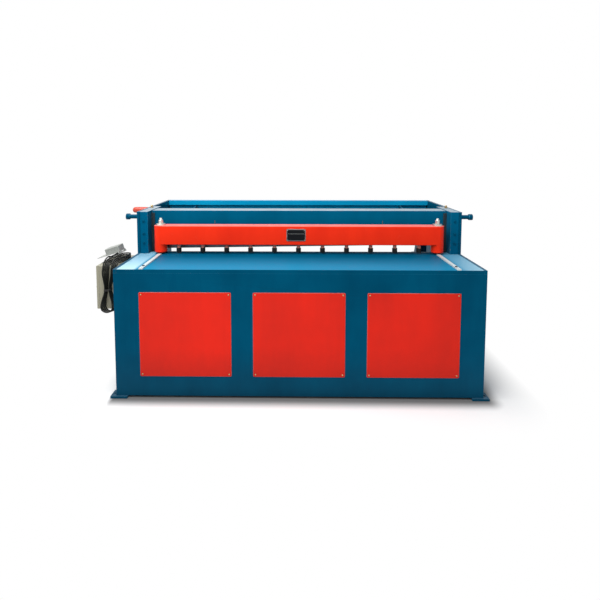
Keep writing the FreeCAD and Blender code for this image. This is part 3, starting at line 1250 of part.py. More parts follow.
def cable():
    stations = hank_stations()
    path = curved_path(stations)
    start, into = stations[0]
    end, out = stations[-1]
    keep("cable_hank", tube(path, into))
    to_gland = [cable_place(point) for point in GLAND_STRETCH] + [start - into * CABLE_LEAD, start]
    entry = switch_place(SWITCH_ENTRY_X, SWITCH_ENTRY_Y, SWITCH_ENTRY_Z)
    to_switch = [end, end + out * CABLE_LEAD] + [cable_place(point) for point in SWITCH_STRETCH]
    to_switch += [entry - vec(0, CABLE_LEAD, 0), entry]
    ends = [bent_path(to_gland), bent_path(to_switch)]
    keep("cable_ends", tube(ends[0], vec(0, -1, 0)), tube(ends[1], out))
    length = path.Length + ends[0].Length + ends[1].Length
    print("cable length", round(length), "hank least gap", round(least_gap(path), 2))
    expected = math.pi * CABLE_RADIUS ** 2 * path.Length
    print("hank volume share", round(NODES["cable_hank"].Volume / expected, 4), "from", start, "to", end)


def hold_down_studs():
    hardware = []
    springs = []
    washer_bottom = BEAM_TOP + SEAT_GAP
    nut_bottom = washer_bottom + STUD_WASHER_THICKNESS
    length = BEAM_TOP - COLUMN_CAP - TABLE_HEIGHT - 2 * SEAT_GAP
    for side in (-1, 1):
        x = side * COLUMN_X
        stud = rod("Z", TABLE_BOTTOM, STUD_TOP - TABLE_BOTTOM, STUD_RADIUS, x, COLUMN_Y)
        washer = rod("Z", washer_bottom, STUD_WASHER_THICKNESS, STUD_WASHER_RADIUS, x, COLUMN_Y)
        nut = hexagon("Z", nut_bottom, STUD_NUT_HEIGHT, STUD_NUT_FLATS, x, COLUMN_Y)
        hardware += [stud, washer.cut(stud), nut.cut(stud)]
        low = TABLE_HEIGHT + SEAT_GAP
        outer = rod("Z", low, length, SPRING_RADIUS + SPRING_WIRE, x, COLUMN_Y)
        springs.append(outer.cut(rod("Z", low, length, SPRING_RADIUS - SPRING_WIRE, x, COLUMN_Y)))
    keep("hold_down_studs", *hardware)
    keep("hold_down_springs", *springs)


def rack(x):
    """Rack bar of the back gauge, teeth up, in mesh with the pinion above it."""
    pitch = math.pi * GAUGE_MODULE
    slope = math.tan(math.radians(20))
    root = RACK_LINE - 1.25 * GAUGE_MODULE
    tip = RACK_LINE + GAUGE_MODULE
    half = (pitch - GAUGE_BACKLASH) / 4
    first = GAUGE_SHAFT_Y - GAUGE_TEETH_AHEAD * pitch
    outline = [(GAUGE_FRONT, RACK_LINE - GAUGE_BAR_HEIGHT), (GAUGE_FRONT, tip)]
    top = []
    for index in range(GAUGE_RACK_TEETH):
        centre = first + index * pitch
        top += [
            (centre - half - (RACK_LINE - root) * slope, root),
            (centre - half + (tip - RACK_LINE) * slope, tip),
            (centre + half - (tip - RACK_LINE) * slope, tip),
            (centre + half + (RACK_LINE - root) * slope, root),
        ]
    outline += [(top[0][0], tip)] + top + [(top[-1][0], tip), (GAUGE_BACK, tip),
                                           (GAUGE_BACK, RACK_LINE - GAUGE_BAR_HEIGHT)]
    return plate_x(outline, x - GAUGE_BAR_WIDTH / 2, x + GAUGE_BAR_WIDTH / 2)


def back_gauge():
    keep("gauge_racks", *[rack(side * GAUGE_X) for side in (-1, 1)])
    stop_bottom = TABLE_HEIGHT + STOP_LIFT
    stop_top = stop_bottom + STOP_HEIGHT
    front = GAUGE_FRONT - STOP_THICKNESS
    stop = box(-STOP_LENGTH / 2, STOP_LENGTH / 2, front, GAUGE_FRONT, stop_bottom, stop_top)
    stop = stop.fuse(box(-STOP_LENGTH / 2, STOP_LENGTH / 2, front, front + STOP_LEG,
                         stop_top - STOP_THICKNESS, stop_top))
    for side in (-1, 1):
        low = side * GAUGE_X - GAUGE_BAR_WIDTH / 2
        stop = stop.fuse(box(low, low + GAUGE_BAR_WIDTH, front, GAUGE_FRONT, stop_bottom,
                             RACK_LINE + GAUGE_MODULE))
    keep("stop_bar", stop.removeSplitter())
    left = -HALF_WIDTH - CRANK_GAP - CRANK_ARM_THICKNESS
    right = HALF_WIDTH + GAUGE_SHAFT_END
    shaft = rod("X", left, right - left, GAUGE_SHAFT_RADIUS, GAUGE_SHAFT_Y, GAUGE_SHAFT_Z)
    down = -math.pi / 2
    pinions = []
    for side in (-1, 1):
        start = side * GAUGE_X - GAUGE_BAR_WIDTH / 2
        pinion = spur(GAUGE_MODULE, GAUGE_PINION_TEETH, GAUGE_BACKLASH, down, start, start + GAUGE_BAR_WIDTH,
                      GAUGE_SHAFT_Y, GAUGE_SHAFT_Z)
        pinions.append(pinion.cut(shaft))
    keep("gauge_cross_shaft", shaft, *pinions)
    grip_y = GAUGE_SHAFT_Y + CRANK_REACH_Y
    grip_z = GAUGE_SHAFT_Z + CRANK_REACH_Z
    reach = math.hypot(CRANK_REACH_Y, CRANK_REACH_Z)
    lean = math.degrees(math.atan2(CRANK_REACH_Z, CRANK_REACH_Y))
    arm = box(left, left + CRANK_ARM_THICKNESS, GAUGE_SHAFT_Y, GAUGE_SHAFT_Y + reach,
              GAUGE_SHAFT_Z - CRANK_TIP_RADIUS, GAUGE_SHAFT_Z + CRANK_TIP_RADIUS)
    arm.rotate(vec(0, GAUGE_SHAFT_Y, GAUGE_SHAFT_Z), vec(1, 0, 0), lean)
    arm = arm.fuse(rod("X", left, CRANK_ARM_THICKNESS, CRANK_BOSS_RADIUS, GAUGE_SHAFT_Y, GAUGE_SHAFT_Z))
    arm = arm.fuse(rod("X", left, CRANK_ARM_THICKNESS, CRANK_TIP_RADIUS, grip_y, grip_z))
    arm = arm.cut(rod("X", left, CRANK_ARM_THICKNESS, GAUGE_SHAFT_RADIUS, GAUGE_SHAFT_Y, GAUGE_SHAFT_Z))
    pin_length = GRIP_LENGTH - GRIP_PIN_SHORT
    arm = arm.fuse(rod("X", left - pin_length, pin_length, GRIP_PIN_RADIUS, grip_y, grip_z))
    keep("crank_arm", arm.removeSplitter())
    grip = [(-GRIP_NECK[0][0], 0)] + [(-along, share * GRIP_RADIUS) for along, share in GRIP_NECK]
    grip += [(along - GRIP_LENGTH, share * GRIP_RADIUS) for along, share in GRIP_TIP] + [(-GRIP_LENGTH, 0)]
    bore_length = pin_length + GRIP_PIN_GAP
    bore = rod("X", left - bore_length, bore_length, GRIP_PIN_RADIUS + RUNNING_CLEARANCE, grip_y, grip_z)
    keep("crank_grip", spin(grip, "X", vec(left, grip_y, grip_z)).cut(bore))
    brackets = []
    inner = GAUGE_X + GAUGE_BAR_WIDTH / 2 + BRACKET_GAP
    shoe_top = RACK_LINE - GAUGE_BAR_HEIGHT - SLIDE_CLEARANCE
    shoe_bottom = shoe_top - SHOE_HEIGHT
    bracket_front = GAUGE_SHAFT_Y - BRACKET_SHAFT_MARGIN
    outline = [
        (BACK - TIE_PLATE, FRAME_HEIGHT - TIE_HEIGHT - BRACKET_TIE_GAP), (BACK - TIE_PLATE, shoe_bottom),
        (bracket_front, shoe_bottom), (bracket_front, GAUGE_SHAFT_Z + BRACKET_FRONT_RISE),
        (GAUGE_SHAFT_Y + BRACKET_SHAFT_MARGIN, GAUGE_SHAFT_Z + BRACKET_SHAFT_MARGIN),
    ]
    bracket = plate_x(outline, inner, inner + BRACKET_THICKNESS)
    for y in (GAUGE_SHAFT_Y - FRONT_SHOE_AHEAD, GAUGE_BACK - REAR_SHOE_AHEAD):
        bracket = bracket.fuse(box(inner - GAUGE_BAR_WIDTH - BRACKET_GAP, inner, y, y + SHOE_LENGTH,
                                   shoe_bottom, shoe_top))
    hole = rod("X", inner, BRACKET_THICKNESS, GAUGE_SHAFT_RADIUS + RUNNING_CLEARANCE, GAUGE_SHAFT_Y,
               GAUGE_SHAFT_Z)
    brackets += both_sides(bracket.cut(hole).removeSplitter())
    keep("gauge_brackets", *brackets)


def cabinet():
    wall = -HALF_WIDTH
    shell = box(DOOR_PLANE, wall, CABINET_Y, CABINET_BACK, CABINET_BOTTOM, CABINET_TOP)
    hollow = box(DOOR_PLANE, wall - CABINET_WALL, CABINET_Y + CABINET_WALL, CABINET_BACK - CABINET_WALL,
                 CABINET_BOTTOM + CABINET_WALL, CABINET_TOP - CABINET_WALL)
    keep("cabinet_box", shell.cut(hollow))
    door = box(CABINET_LEFT, DOOR_PLANE - DOOR_GAP, CABINET_Y, CABINET_BACK, CABINET_BOTTOM, CABINET_TOP)
    door = rounded(door, DOOR_CORNER, lambda run, middle: middle.x < CABINET_LEFT + 1)
    pan = box(CABINET_LEFT + CABINET_WALL, DOOR_PLANE, CABINET_Y + CABINET_WALL, CABINET_BACK - CABINET_WALL,
              CABINET_BOTTOM + CABINET_WALL, CABINET_TOP - CABINET_WALL)
    door = door.cut(pan)
    middle_y = (CABINET_Y + CABINET_BACK) / 2
    button_z = CABINET_TOP - BUTTON_Z_DROP
    face = CABINET_LEFT - BEZEL_HEIGHT
    stem = BUTTON_STEM_RADIUS
    seat = [(BEZEL_HEIGHT + BUTTON_STEM_DEPTH, stem), (BEZEL_HEIGHT + BUTTON_STEM_DEPTH, 0)]
    flat_button = [(-START_RISE, 0), (-START_RISE, stem - BUTTON_EDGE), (BUTTON_EDGE - START_RISE, stem)]
    mushroom = [
        (-STOP_RISE, 0), (-STOP_RISE, STOP_CAP_RADIUS - STOP_CAP_EDGE),
        (STOP_CAP_EDGE - STOP_RISE, STOP_CAP_RADIUS),
        (STOP_CAP_HEIGHT - STOP_RISE, STOP_CAP_RADIUS - BUTTON_EDGE), (STOP_CAP_HEIGHT - STOP_RISE, stem),
    ]
    buttons = (
        ("start_button", flat_button, START_BEZEL_RADIUS, middle_y - BUTTON_SPACING / 2),
        ("stop_button", mushroom, STOP_BEZEL_RADIUS, middle_y + BUTTON_SPACING / 2),
    )
    for name, head, bezel, y in buttons:
        door = door.fuse(rod("X", face, BEZEL_HEIGHT, bezel, y, button_z))
        door = door.cut(rod("X", face, BEZEL_HEIGHT + CABINET_WALL, stem + BUTTON_STEM_GAP, y, button_z))
        keep(name, spin(head + seat, "X", vec(face, y, button_z)))
    keep("cabinet_door", door.removeSplitter())
    hinges = []
    hinge_y = CABINET_BACK + HINGE_RADIUS + SEAT_GAP
    for z in (CABINET_BOTTOM + LOWER_HINGE_RISE, CABINET_TOP - UPPER_HINGE_DROP):
        hinges.append(rod("Z", z, HINGE_HEIGHT, HINGE_RADIUS, DOOR_PLANE - DOOR_GAP / 2, hinge_y))
    keep("cabinet_hinges", *hinges)
    exit_x, exit_y, exit_z = cable_place(GLAND_STRETCH[0])
    gland_y = CABINET_Y + GLAND_BACK
    gland = hexagon("Z", CABINET_BOTTOM - GLAND_NUT, GLAND_NUT, 2 * GLAND_RADIUS, exit_x, gland_y)
    elbow = GLAND_BODY_RADIUS
    body = [
        (-0.9 * elbow, 0), (-0.9 * elbow, 0.45 * elbow), (-0.45 * elbow, 0.9 * elbow), (0, elbow),
        (CABINET_BOTTOM - GLAND_NUT - exit_z, elbow), (CABINET_BOTTOM - GLAND_NUT - exit_z, 0),
    ]
    gland = gland.fuse(spin(body, "Z", vec(exit_x, gland_y, exit_z)))
    reach = gland_y - exit_y
    nose = [(0, 0), (0, GLAND_MOUTH_RADIUS), (GLAND_NOSE * 0.3, GLAND_NOSE_RADIUS),
            (reach, GLAND_NOSE_RADIUS), (reach, 0)]
    keep("cable_gland", gland.fuse(spin(nose, "Y", vec(exit_x, exit_y, exit_z))).removeSplitter())


def place_switch(solid):
    """Turn a piece of the foot switch about its left edge and set it on the cabinet."""
    solid.rotate(vec(0, 0, 0), vec(0, 1, 0), -SWITCH_TILT)
    solid.translate(switch_place(0, 0, 0))
    return solid


def foot_switch():
    depth = SWITCH_DEPTH
    base = box(0, SWITCH_LENGTH, 0, depth, 0, SWITCH_PLATE)
    ear_start = SWITCH_LENGTH - EAR_LENGTH
    for y in (EAR_INSET, depth - EAR_INSET - EAR_THICKNESS):
        ear_top = SWITCH_PIVOT_HEIGHT + EAR_RISE
        base = base.fuse(box(ear_start, SWITCH_LENGTH, y, y + EAR_THICKNESS, SWITCH_PLATE, ear_top))
    pin_x = SWITCH_LENGTH - SWITCH_PIN_INSET
    pin = rod("Y", SWITCH_PIN_SHORT, depth - 2 * SWITCH_PIN_SHORT, SWITCH_PIN_RADIUS, pin_x,
              SWITCH_PIVOT_HEIGHT)
    core = box(CORE_START, SWITCH_ENTRY_X + CORE_PAST_ENTRY, SWITCH_ENTRY_Y, depth - SWITCH_ENTRY_Y,
               SWITCH_PLATE, SWITCH_PLATE + SWITCH_CORE_HEIGHT)
    base = base.fuse(pin).fuse(core)
    keep("foot_switch_base", place_switch(base.removeSplitter()))
    under = SWITCH_PIVOT_HEIGHT + PEDAL_RISE
    top = under + SWITCH_PLATE
    tread = box(-PEDAL_OVERHANG, SWITCH_LENGTH - PEDAL_END_GAP, 0, depth, under, top)
    for y in (LUG_INSET, depth - LUG_INSET - EAR_THICKNESS):
        tread = tread.fuse(box(ear_start, SWITCH_LENGTH, y, y + EAR_THICKNESS,
                               SWITCH_PIVOT_HEIGHT - LUG_DROP, SWITCH_PIVOT_HEIGHT + LUG_RISE))
    margin = (depth - HOOD_DEPTH) / 2
    hood = box(HOOD_START, HOOD_START + HOOD_LENGTH, margin, depth - margin, top, top + HOOD_HEIGHT)
    hood = rounded(hood, HOOD_CORNER,
                   lambda run, middle: abs(run.z) > 0.9 or middle.z > top + HOOD_HEIGHT - 1)
    tread = tread.fuse(hood)
    tread = tread.cut(box(HOOD_START + HOOD_WALL, HOOD_START + HOOD_LENGTH - HOOD_WALL, margin + HOOD_WALL,
                          depth - margin - HOOD_WALL, SWITCH_PIVOT_HEIGHT, top + HOOD_HEIGHT - HOOD_WALL))
    tread = tread.cut(rod("Y", 0, depth, SWITCH_PIN_RADIUS + RUNNING_CLEARANCE, pin_x, SWITCH_PIVOT_HEIGHT))
    tread.rotate(vec(pin_x, 0, SWITCH_PIVOT_HEIGHT), vec(0, 1, 0), PEDAL_OPEN)
    keep("foot_switch_pedal", place_switch(tread.removeSplitter()))


side_frames()
front()
table()
squaring_strips()
feet()
rear_frame()
posts()
carrier()
carrier_arms()
gears()
belt_drive()
drive_frame()
guard()
hold_down()
hold_down_studs()
back_gauge()
cabinet()
foot_switch()
cable()

os.makedirs("parts", exist_ok=True)
for name, shape in NODES.items():
    shape.exportStep("parts/" + name + ".step")
print(len(NODES), "nodes, carrier stroke", round(STROKE, 3))
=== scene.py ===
import json
from math import acos, atan2, cos, hypot, pi, radians, sin, sqrt

import bmesh
import bpy
from mathutils import Matrix, Vector


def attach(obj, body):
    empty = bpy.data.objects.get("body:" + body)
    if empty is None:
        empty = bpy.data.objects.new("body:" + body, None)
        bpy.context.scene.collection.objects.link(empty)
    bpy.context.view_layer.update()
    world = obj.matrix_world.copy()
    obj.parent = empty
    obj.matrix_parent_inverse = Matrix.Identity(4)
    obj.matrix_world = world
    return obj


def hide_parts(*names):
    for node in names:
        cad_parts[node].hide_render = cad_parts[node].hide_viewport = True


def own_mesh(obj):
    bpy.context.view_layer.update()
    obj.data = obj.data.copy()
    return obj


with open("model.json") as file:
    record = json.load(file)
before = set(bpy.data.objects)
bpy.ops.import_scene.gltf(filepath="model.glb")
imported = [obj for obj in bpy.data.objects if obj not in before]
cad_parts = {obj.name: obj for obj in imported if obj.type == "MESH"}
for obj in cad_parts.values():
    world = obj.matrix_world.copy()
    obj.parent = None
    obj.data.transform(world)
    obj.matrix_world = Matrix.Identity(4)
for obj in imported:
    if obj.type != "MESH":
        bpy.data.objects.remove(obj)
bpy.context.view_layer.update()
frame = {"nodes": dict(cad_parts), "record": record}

# Side frames: two 20 mm plates, flame cut in one outline from the feet to the top of the guides, with
# the edges ground back by hand. The whole machine hangs between them. They wear a blue oil enamel,
# sprayed over primer, with the orange peel of thick paint and chips along the corners.


def add(tree, kind, inputs=(), **settings):
    """New node; an input is set to its value, or linked where that is another node's output."""
    made = tree.nodes.new(kind)
    for name, value in settings.items():
        setattr(made, name, value)
    for name, value in dict(inputs).items():
        if isinstance(value, bpy.types.NodeSocket):
            tree.links.new(value, made.inputs[name])
        else:
            made.inputs[name].default_value = value
    return made


def maths(tree, operation, first, second=0.0, third=0.0):
    return add(tree, "ShaderNodeMath", {0: first, 1: second, 2: third}, operation=operation).outputs[0]


def times(tree, first, second):
    return maths(tree, "MULTIPLY", first, second)


def plus(tree, first, second):
    return maths(tree, "ADD", first, second)


def mixed(tree, share, first, second):
    return add(tree, "ShaderNodeMix", {0: share, 6: first, 7: second}, data_type="RGBA").outputs[2]


def combined(tree, x=0.0, y=0.0, z=0.0):
    return add(tree, "ShaderNodeCombineXYZ", {0: x, 1: y, 2: z}).outputs[0]


def ranged(tree, value, low, high, out_low=0.0, out_high=1.0):
    inputs = {"Value": value, "From Min": low, "From Max": high, "To Min": out_low, "To Max": out_high}
    return add(tree, "ShaderNodeMapRange", inputs).outputs[0]


def effect(name, inputs):
    """New shader group with the given inputs, and Colour, Roughness and Height coming out."""
    tree = bpy.data.node_groups.new(name, "ShaderNodeTree")
    for label, value in inputs.items():
        kind = {3: "Vector", 4: "Color"}[len(value)] if isinstance(value, tuple) else "Float"
        socket = tree.interface.new_socket(name=label, in_out="INPUT", socket_type="NodeSocket" + kind)
        socket.default_value = value
    for label, kind in (("Colour", "Color"), ("Roughness", "Float"), ("Height", "Float")):
        tree.interface.new_socket(name=label, in_out="OUTPUT", socket_type="NodeSocket" + kind)
    given = tree.nodes.new("NodeGroupInput").outputs
    sent = tree.nodes.new("NodeGroupOutput").inputs
    places = tree.nodes.new("ShaderNodeTexCoord").outputs
    return tree, given, sent, places


def noise(tree, place, scale, detail=2.0, roughness=0.5, distortion=0.0):
    inputs = {"Vector": place, "Scale": scale, "Detail": detail, "Roughness": roughness}
    return add(tree, "ShaderNodeTexNoise", {**inputs, "Distortion": distortion}).outputs[0]


def stretched(tree, place, scale):
    return add(tree, "ShaderNodeMapping", {"Vector": place, "Scale": scale}).outputs[0]


def finish(name, group, bump, **values):
    """Material of one shader, fed by a shared effect. What isn't an input of the effect is the shader's."""
    material = bpy.data.materials.new(name)
    material.use_nodes = True
    tree = material.node_tree
    shader = tree.nodes["Principled BSDF"]
    source = add(tree, "ShaderNodeGroup", node_tree=group)
    for label, value in values.items():
        label = {"Shine": "Specular IOR Level", "Tint": "Specular Tint"}.get(label, label)
        socket = (source if label in source.inputs else shader).inputs[label]
        socket.default_value = (*value, 1) if socket.type == "RGBA" else value
    tree.links.new(source.outputs["Colour"], shader.inputs["Base Color"])
    tree.links.new(source.outputs["Roughness"], shader.inputs["Roughness"])
    relief = add(tree, "ShaderNodeBump", {"Height": source.outputs["Height"], "Distance": bump})
    tree.links.new(relief.outputs[0], shader.inputs["Normal"])
    return material


enamel, given, sent, places = effect("Enamel", {
    "Colour": (0.0, 0.07, 0.138, 1), "Deep": (0.0, 0.048, 0.098, 1), "Worn": (0.03, 0.14, 0.22, 1),
    "Primer": (0.16, 0.05, 0.03, 1), "Gloss": 0.24, "Peel": 260.0, "Wear": 0.1, "Chips": 0.0, "Dust": 0.03,
    "Grime": 0.0, "Handled": 0.0,
})
spot = add(enamel, "ShaderNodeSeparateXYZ", {0: places["Object"]}).outputs
upward = add(enamel, "ShaderNodeSeparateXYZ", {0: places["Normal"]}).outputs["Z"]
broad = noise(enamel, places["Object"], 2.3, 3.0, 0.55)
sprayed = noise(enamel, stretched(enamel, places["Object"], (7, 7, 1.6)), 1.0, 4.0, 0.6)
shade = plus(enamel, times(enamel, broad, 0.65), times(enamel, sprayed, 0.35))
tone = mixed(enamel, ranged(enamel, shade, 0.36, 0.64), given["Deep"], given["Colour"])
# Scuffs from plates and gloves, finer than a hand
scuff = noise(enamel, places["Object"], 34.0, 7.0, 0.72, 0.4)
scuffed = times(enamel, ranged(enamel, scuff, 0.6, 0.72), given["Wear"])
tone = mixed(enamel, scuffed, tone, given["Worn"])
# The table's top is painted lighter towards its front, a painted highlight, and pale at its ends, a painted
# reflection
ends = ranged(enamel, maths(enamel, "ABSOLUTE", spot["X"]), 1.02, 1.05)
painted_front_light = maths(enamel, "MAXIMUM", ranged(enamel, spot["Y"], -0.28, -0.58), ends)
painted_front_light = times(enamel, painted_front_light, given["Handled"])
tone = mixed(enamel, painted_front_light, tone, given["Worn"])
left_end = ranged(enamel, spot["X"], -1.04, -1.062, 0.0, 0.57)
right_end = ranged(enamel, spot["X"], 1.02, 1.07, 0.0, 0.22)
right_end = plus(enamel, right_end, ranged(enamel, spot["X"], 1.07, 1.2, 0.0, 0.2))
painted_pale_ends = times(enamel, plus(enamel, left_end, right_end), given["Handled"])
painted_pale_ends = times(enamel, painted_pale_ends, ranged(enamel, spot["Y"], -0.25, -0.62, 0.45, 1.0))
tone = mixed(enamel, painted_pale_ends, tone, (0.64, 0.86, 0.92, 1))
# Dust on what faces up, which on the lighter blue also stands for a painted highlight on the tops, and a
# darkening that fades out above the floor, partly grime and partly painted shade
facing_up = times(enamel, ranged(enamel, upward, 0.5, 1.0), ranged(enamel, sprayed, 0.35, 0.65, 0.8, 1.0))
dust_and_sheen = times(enamel, facing_up, given["Dust"])
tone = mixed(enamel, dust_and_sheen, tone, (0.74, 0.75, 0.72, 1))
# Darker towards the floor: partly grime, partly painted shade
low_band = ranged(enamel, plus(enamel, spot["Z"], times(enamel, scuff, 0.16)), 0.06, 0.42, 1.0, 0.0)
low_darkening = times(enamel, low_band, given["Grime"])
tone = mixed(enamel, low_darkening, tone, (0.02, 0.022, 0.02, 1))
# Chips down to primer and steel, only where a material asks for them
flake = noise(enamel, places["Object"], 85.0, 5.0, 0.65)
chipped = times(enamel, ranged(enamel, flake, 0.57, 0.6), given["Chips"])
bare = ranged(enamel, flake, 0.62, 0.65)
tone = mixed(enamel, chipped, tone, mixed(enamel, bare, given["Primer"], (0.3, 0.3, 0.3, 1)))
enamel.links.new(tone, sent["Colour"])
rough = plus(enamel, given["Gloss"], times(enamel, sprayed, 0.1))
rough = plus(enamel, rough, times(enamel, plus(enamel, dust_and_sheen, low_darkening), 0.6))
enamel.links.new(plus(enamel, rough, times(enamel, chipped, 0.15)), sent["Roughness"])
peel = noise(enamel, places["Object"], given["Peel"], 2.0)
enamel.links.new(maths(enamel, "SUBTRACT", peel, times(enamel, chipped, 2.5)), sent["Height"])

# Blue and the lighter blue below are one enamel in a darker and a lighter copy: painted shade and painted
# light. On the lighter copy the dust on the tops also stands for a painted highlight
blue = finish("Blue enamel", enamel, 0.00006, Grime=0.2, Shine=0.13, Tint=(0.04, 0.3, 0.5))
lit_blue_with_dust = finish(
    "Blue enamel under dust", enamel, 0.00006, Colour=(0.0, 0.104, 0.205), Deep=(0.0, 0.075, 0.15),
    Dust=0.42, Grime=0.2, Shine=0.18, Tint=(0.04, 0.3, 0.5))
# Edges wear a lighter blue: partly worn paint, partly a painted highlight
blue_edge_worn_and_lit = finish(
    "Blue enamel on edges", enamel, 0.00006, Colour=(0.015, 0.17, 0.29), Deep=(0.004, 0.12, 0.22), Wear=0.5,
    Chips=0.8, Gloss=0.3, Grime=0.2, Shine=0.5, Tint=(0.2, 0.5, 0.7))


TOUCHING = 1e-5
FLUSH = radians(0.4)
SHARP = radians(28)
CREASE = radians(22)


def worked(node, width):
    """Copy of a CAD node's mesh with its triangles joined and its edges broken by width metres."""
    shape = bmesh.new()
    shape.from_mesh(frame["nodes"][node].data)
    bmesh.ops.remove_doubles(shape, verts=shape.verts, dist=TOUCHING)
    bmesh.ops.dissolve_limit(shape, angle_limit=FLUSH, verts=shape.verts, edges=shape.edges)
    sharp = [e for e in shape.edges if len(e.link_faces) == 2 and e.calc_face_angle() > SHARP]
    bmesh.ops.bevel(shape, geom=sharp, offset=width, segments=2, profile=0.5, affect="EDGES",
                    clamp_overlap=True, material=1)
    return closed(shape, node)


def closed(shape, name):
    """Mesh from a bmesh, smooth but for its sharp edges."""
    for face in shape.faces:
        face.smooth = True
    mesh = bpy.data.meshes.new(name)
    shape.to_mesh(mesh)
    shape.free()
    mesh.set_sharp_from_angle(angle=CREASE)
    return mesh


def placed(name, data):
    """New object in the scene, at the origin."""
    made = bpy.data.objects.new(name, data)
    bpy.context.scene.collection.objects.link(made)
    return made


def put(name, shape, body, finishes=(), nodes=()):
    """Piece at the origin that rides on a body, and stands for the CAD nodes named."""
    mesh = closed(shape, name) if isinstance(shape, bmesh.types.BMesh) else shape
    piece = placed(name, mesh)
    for material in finishes:
        mesh.materials.append(material)
    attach(piece, body)
    if nodes:
        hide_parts(*nodes)
    return piece


bodies = {node: body for body, nodes in frame["record"]["behaviour"]["bodies"].items() for node in nodes}


def dress(node, width, *finishes):
    """The CAD node's own shape with broken edges and the given finishes."""
    return put(node + "_finished", worked(node, width), bodies[node], finishes, [node])


for node in ("right_side_frame", "left_side_frame"):
    dress(node, 0.0016, blue, blue_edge_worn_and_lit)

# Floor members: a flat foot under each corner with one anchor hole, and rolled channels that tie the
# side frames near the floor. All are welded in, and the beads are painted over with the rest.
for node in ("foot_plates", "cross_channels"):
    dress(node, 0.0012, blue, blue_edge_worn_and_lit)


def grown(name, sizes):
    """New Geometry Nodes tree with a Geometry input, one input for each size and a Geometry output."""
    tree = bpy.data.node_groups.new(name, "GeometryNodeTree")
    tree.interface.new_socket(name="Geometry", in_out="INPUT", socket_type="NodeSocketGeometry")
    kinds = {float: "Float", int: "Int", tuple: "Vector", str: "Material"}
    for label, value in sizes.items():
        kind = "NodeSocket" + kinds[type(value)]
        socket = tree.interface.new_socket(name=label, in_out="INPUT", socket_type=kind)
        if not isinstance(value, str):
            socket.default_value = value
    tree.interface.new_socket(name="Geometry", in_out="OUTPUT", socket_type="NodeSocketGeometry")
    return tree, tree.nodes.new("NodeGroupInput").outputs, tree.nodes.new("NodeGroupOutput").inputs


def formed(tree, kind, inputs, **settings):
    """First output of a new geometry node of the given kind."""
    return add(tree, "GeometryNode" + kind, inputs, **settings).outputs[0]


def end_tree(tree, geometry, given, sent):
    """Last steps of every tree: its copies made real, and the material set."""
    solid = formed(tree, "RealizeInstances", {"Geometry": geometry})
    dressed = formed(tree, "SetMaterial", {"Geometry": solid, "Material": given["Material"]})
    tree.links.new(dressed, sent["Geometry"])


def raised(tree, base, **values):
    """Plain mesh that a tree makes from a base mesh; the values go in by the sockets' identifiers."""
    holder = placed("setting out", base)
    modifier = holder.modifiers.new("pattern", "NODES")
    modifier.node_group = tree
    for item in tree.interface.items_tree:
        if item.in_out == "INPUT" and item.name in values:
            modifier[item.identifier] = values[item.name]
    mesh = bpy.data.meshes.new_from_object(holder.evaluated_get(bpy.context.evaluated_depsgraph_get()))
    holder.modifiers.remove(modifier)
    bpy.data.objects.remove(holder)
    return mesh


def seats(points, lines=()):
    mesh = bpy.data.meshes.new("seats")
    mesh.from_pydata(points, lines, [])
    return mesh


welding, given, sent = grown("Weld bead", {"Leg": 0.005, "Ripple": 0.004, "Seed": 7, "Material": ""})
runs = formed(welding, "MeshToCurve", {"Mesh": given["Geometry"]})
steps = formed(welding, "ResampleCurve", {"Curve": runs, "Length": given["Ripple"]}, mode="LENGTH")
uneven = {"Min": 0.72, "Max": 1.1, "Seed": given["Seed"]}
uneven = add(welding, "FunctionNodeRandomValue", uneven, data_type="FLOAT").outputs["Value"]
section = formed(welding, "CurvePrimitiveCircle", {"Resolution": 8, "Radius": 1.0})
legs = times(welding, uneven, given["Leg"])
bead = formed(welding, "CurveToMesh", {
    "Curve": steps, "Profile Curve": section, "Scale": legs, "Fill Caps": True})
end_tree(welding, bead, given, sent)


def weld(name, body, lines, leg):
    points = [end for line in lines for end in line]
    pairs = [(2 * index, 2 * index + 1) for index in range(len(lines))]
    mesh = raised(welding, seats(points, pairs), Leg=leg, Ripple=leg * 0.8, Material=blue)
    mesh.polygons.foreach_set("use_smooth", [True] * len(mesh.polygons))
    return put(name, mesh, body)


FOOT_TOP = 0.015
OUTSIDE = 1.19
INSIDE = 1.17
CHANNEL_FACES = (-0.085, -0.005, 0.255, 0.335, 0.425, 0.505, 0.553, 0.633)
lines = []
for side in (-1, 1):
    for front, back in ((-0.645, -0.582), (0.582, 0.645)):
        lines.append(((side * OUTSIDE, front, FOOT_TOP), (side * OUTSIDE, back, FOOT_TOP)))
    for y in CHANNEL_FACES:
        lines.append(((side * INSIDE, y, 0.02), (side * INSIDE, y, 0.094)))
weld("foot_welds", "root", lines, 0.0045)

# Front panel, table and bed: a 12 mm panel on edge, a 25 mm table laid on it and the beam under the
# lower blade. Plates slide over the table, so the enamel on top is scuffed and dull, and it also carries
# painted light: lighter towards the front and pale at both ends.
for node in ("front_panel", "bed_beam"):
    dress(node, 0.0012, blue, blue_edge_worn_and_lit)
# The table top's finish paints a highlight towards the front and a pale reflection at both ends, over real
# scuffs
table_top_paint_and_light = finish(
    "Blue enamel rubbed by plates", enamel, 0.00005, Colour=(0.0, 0.086, 0.17), Deep=(0.0, 0.068, 0.138),
    Worn=(0.01, 0.19, 0.34), Gloss=0.38, Wear=0.12, Dust=0.0, Handled=1.0, Shine=0.03)
table = dress("table_plate", 0.0018, blue, blue_edge_worn_and_lit, table_top_paint_and_light)
for face in table.data.polygons:
    if face.normal.z > 0.9:
        face.material_index = 2
lines = []
for x in (-0.372, -0.36, 0.36, 0.372):
    lines.append(((x, -0.632, 0.824), (x, -0.172, 0.824)))
weld("bed_welds", "root", lines, 0.004)
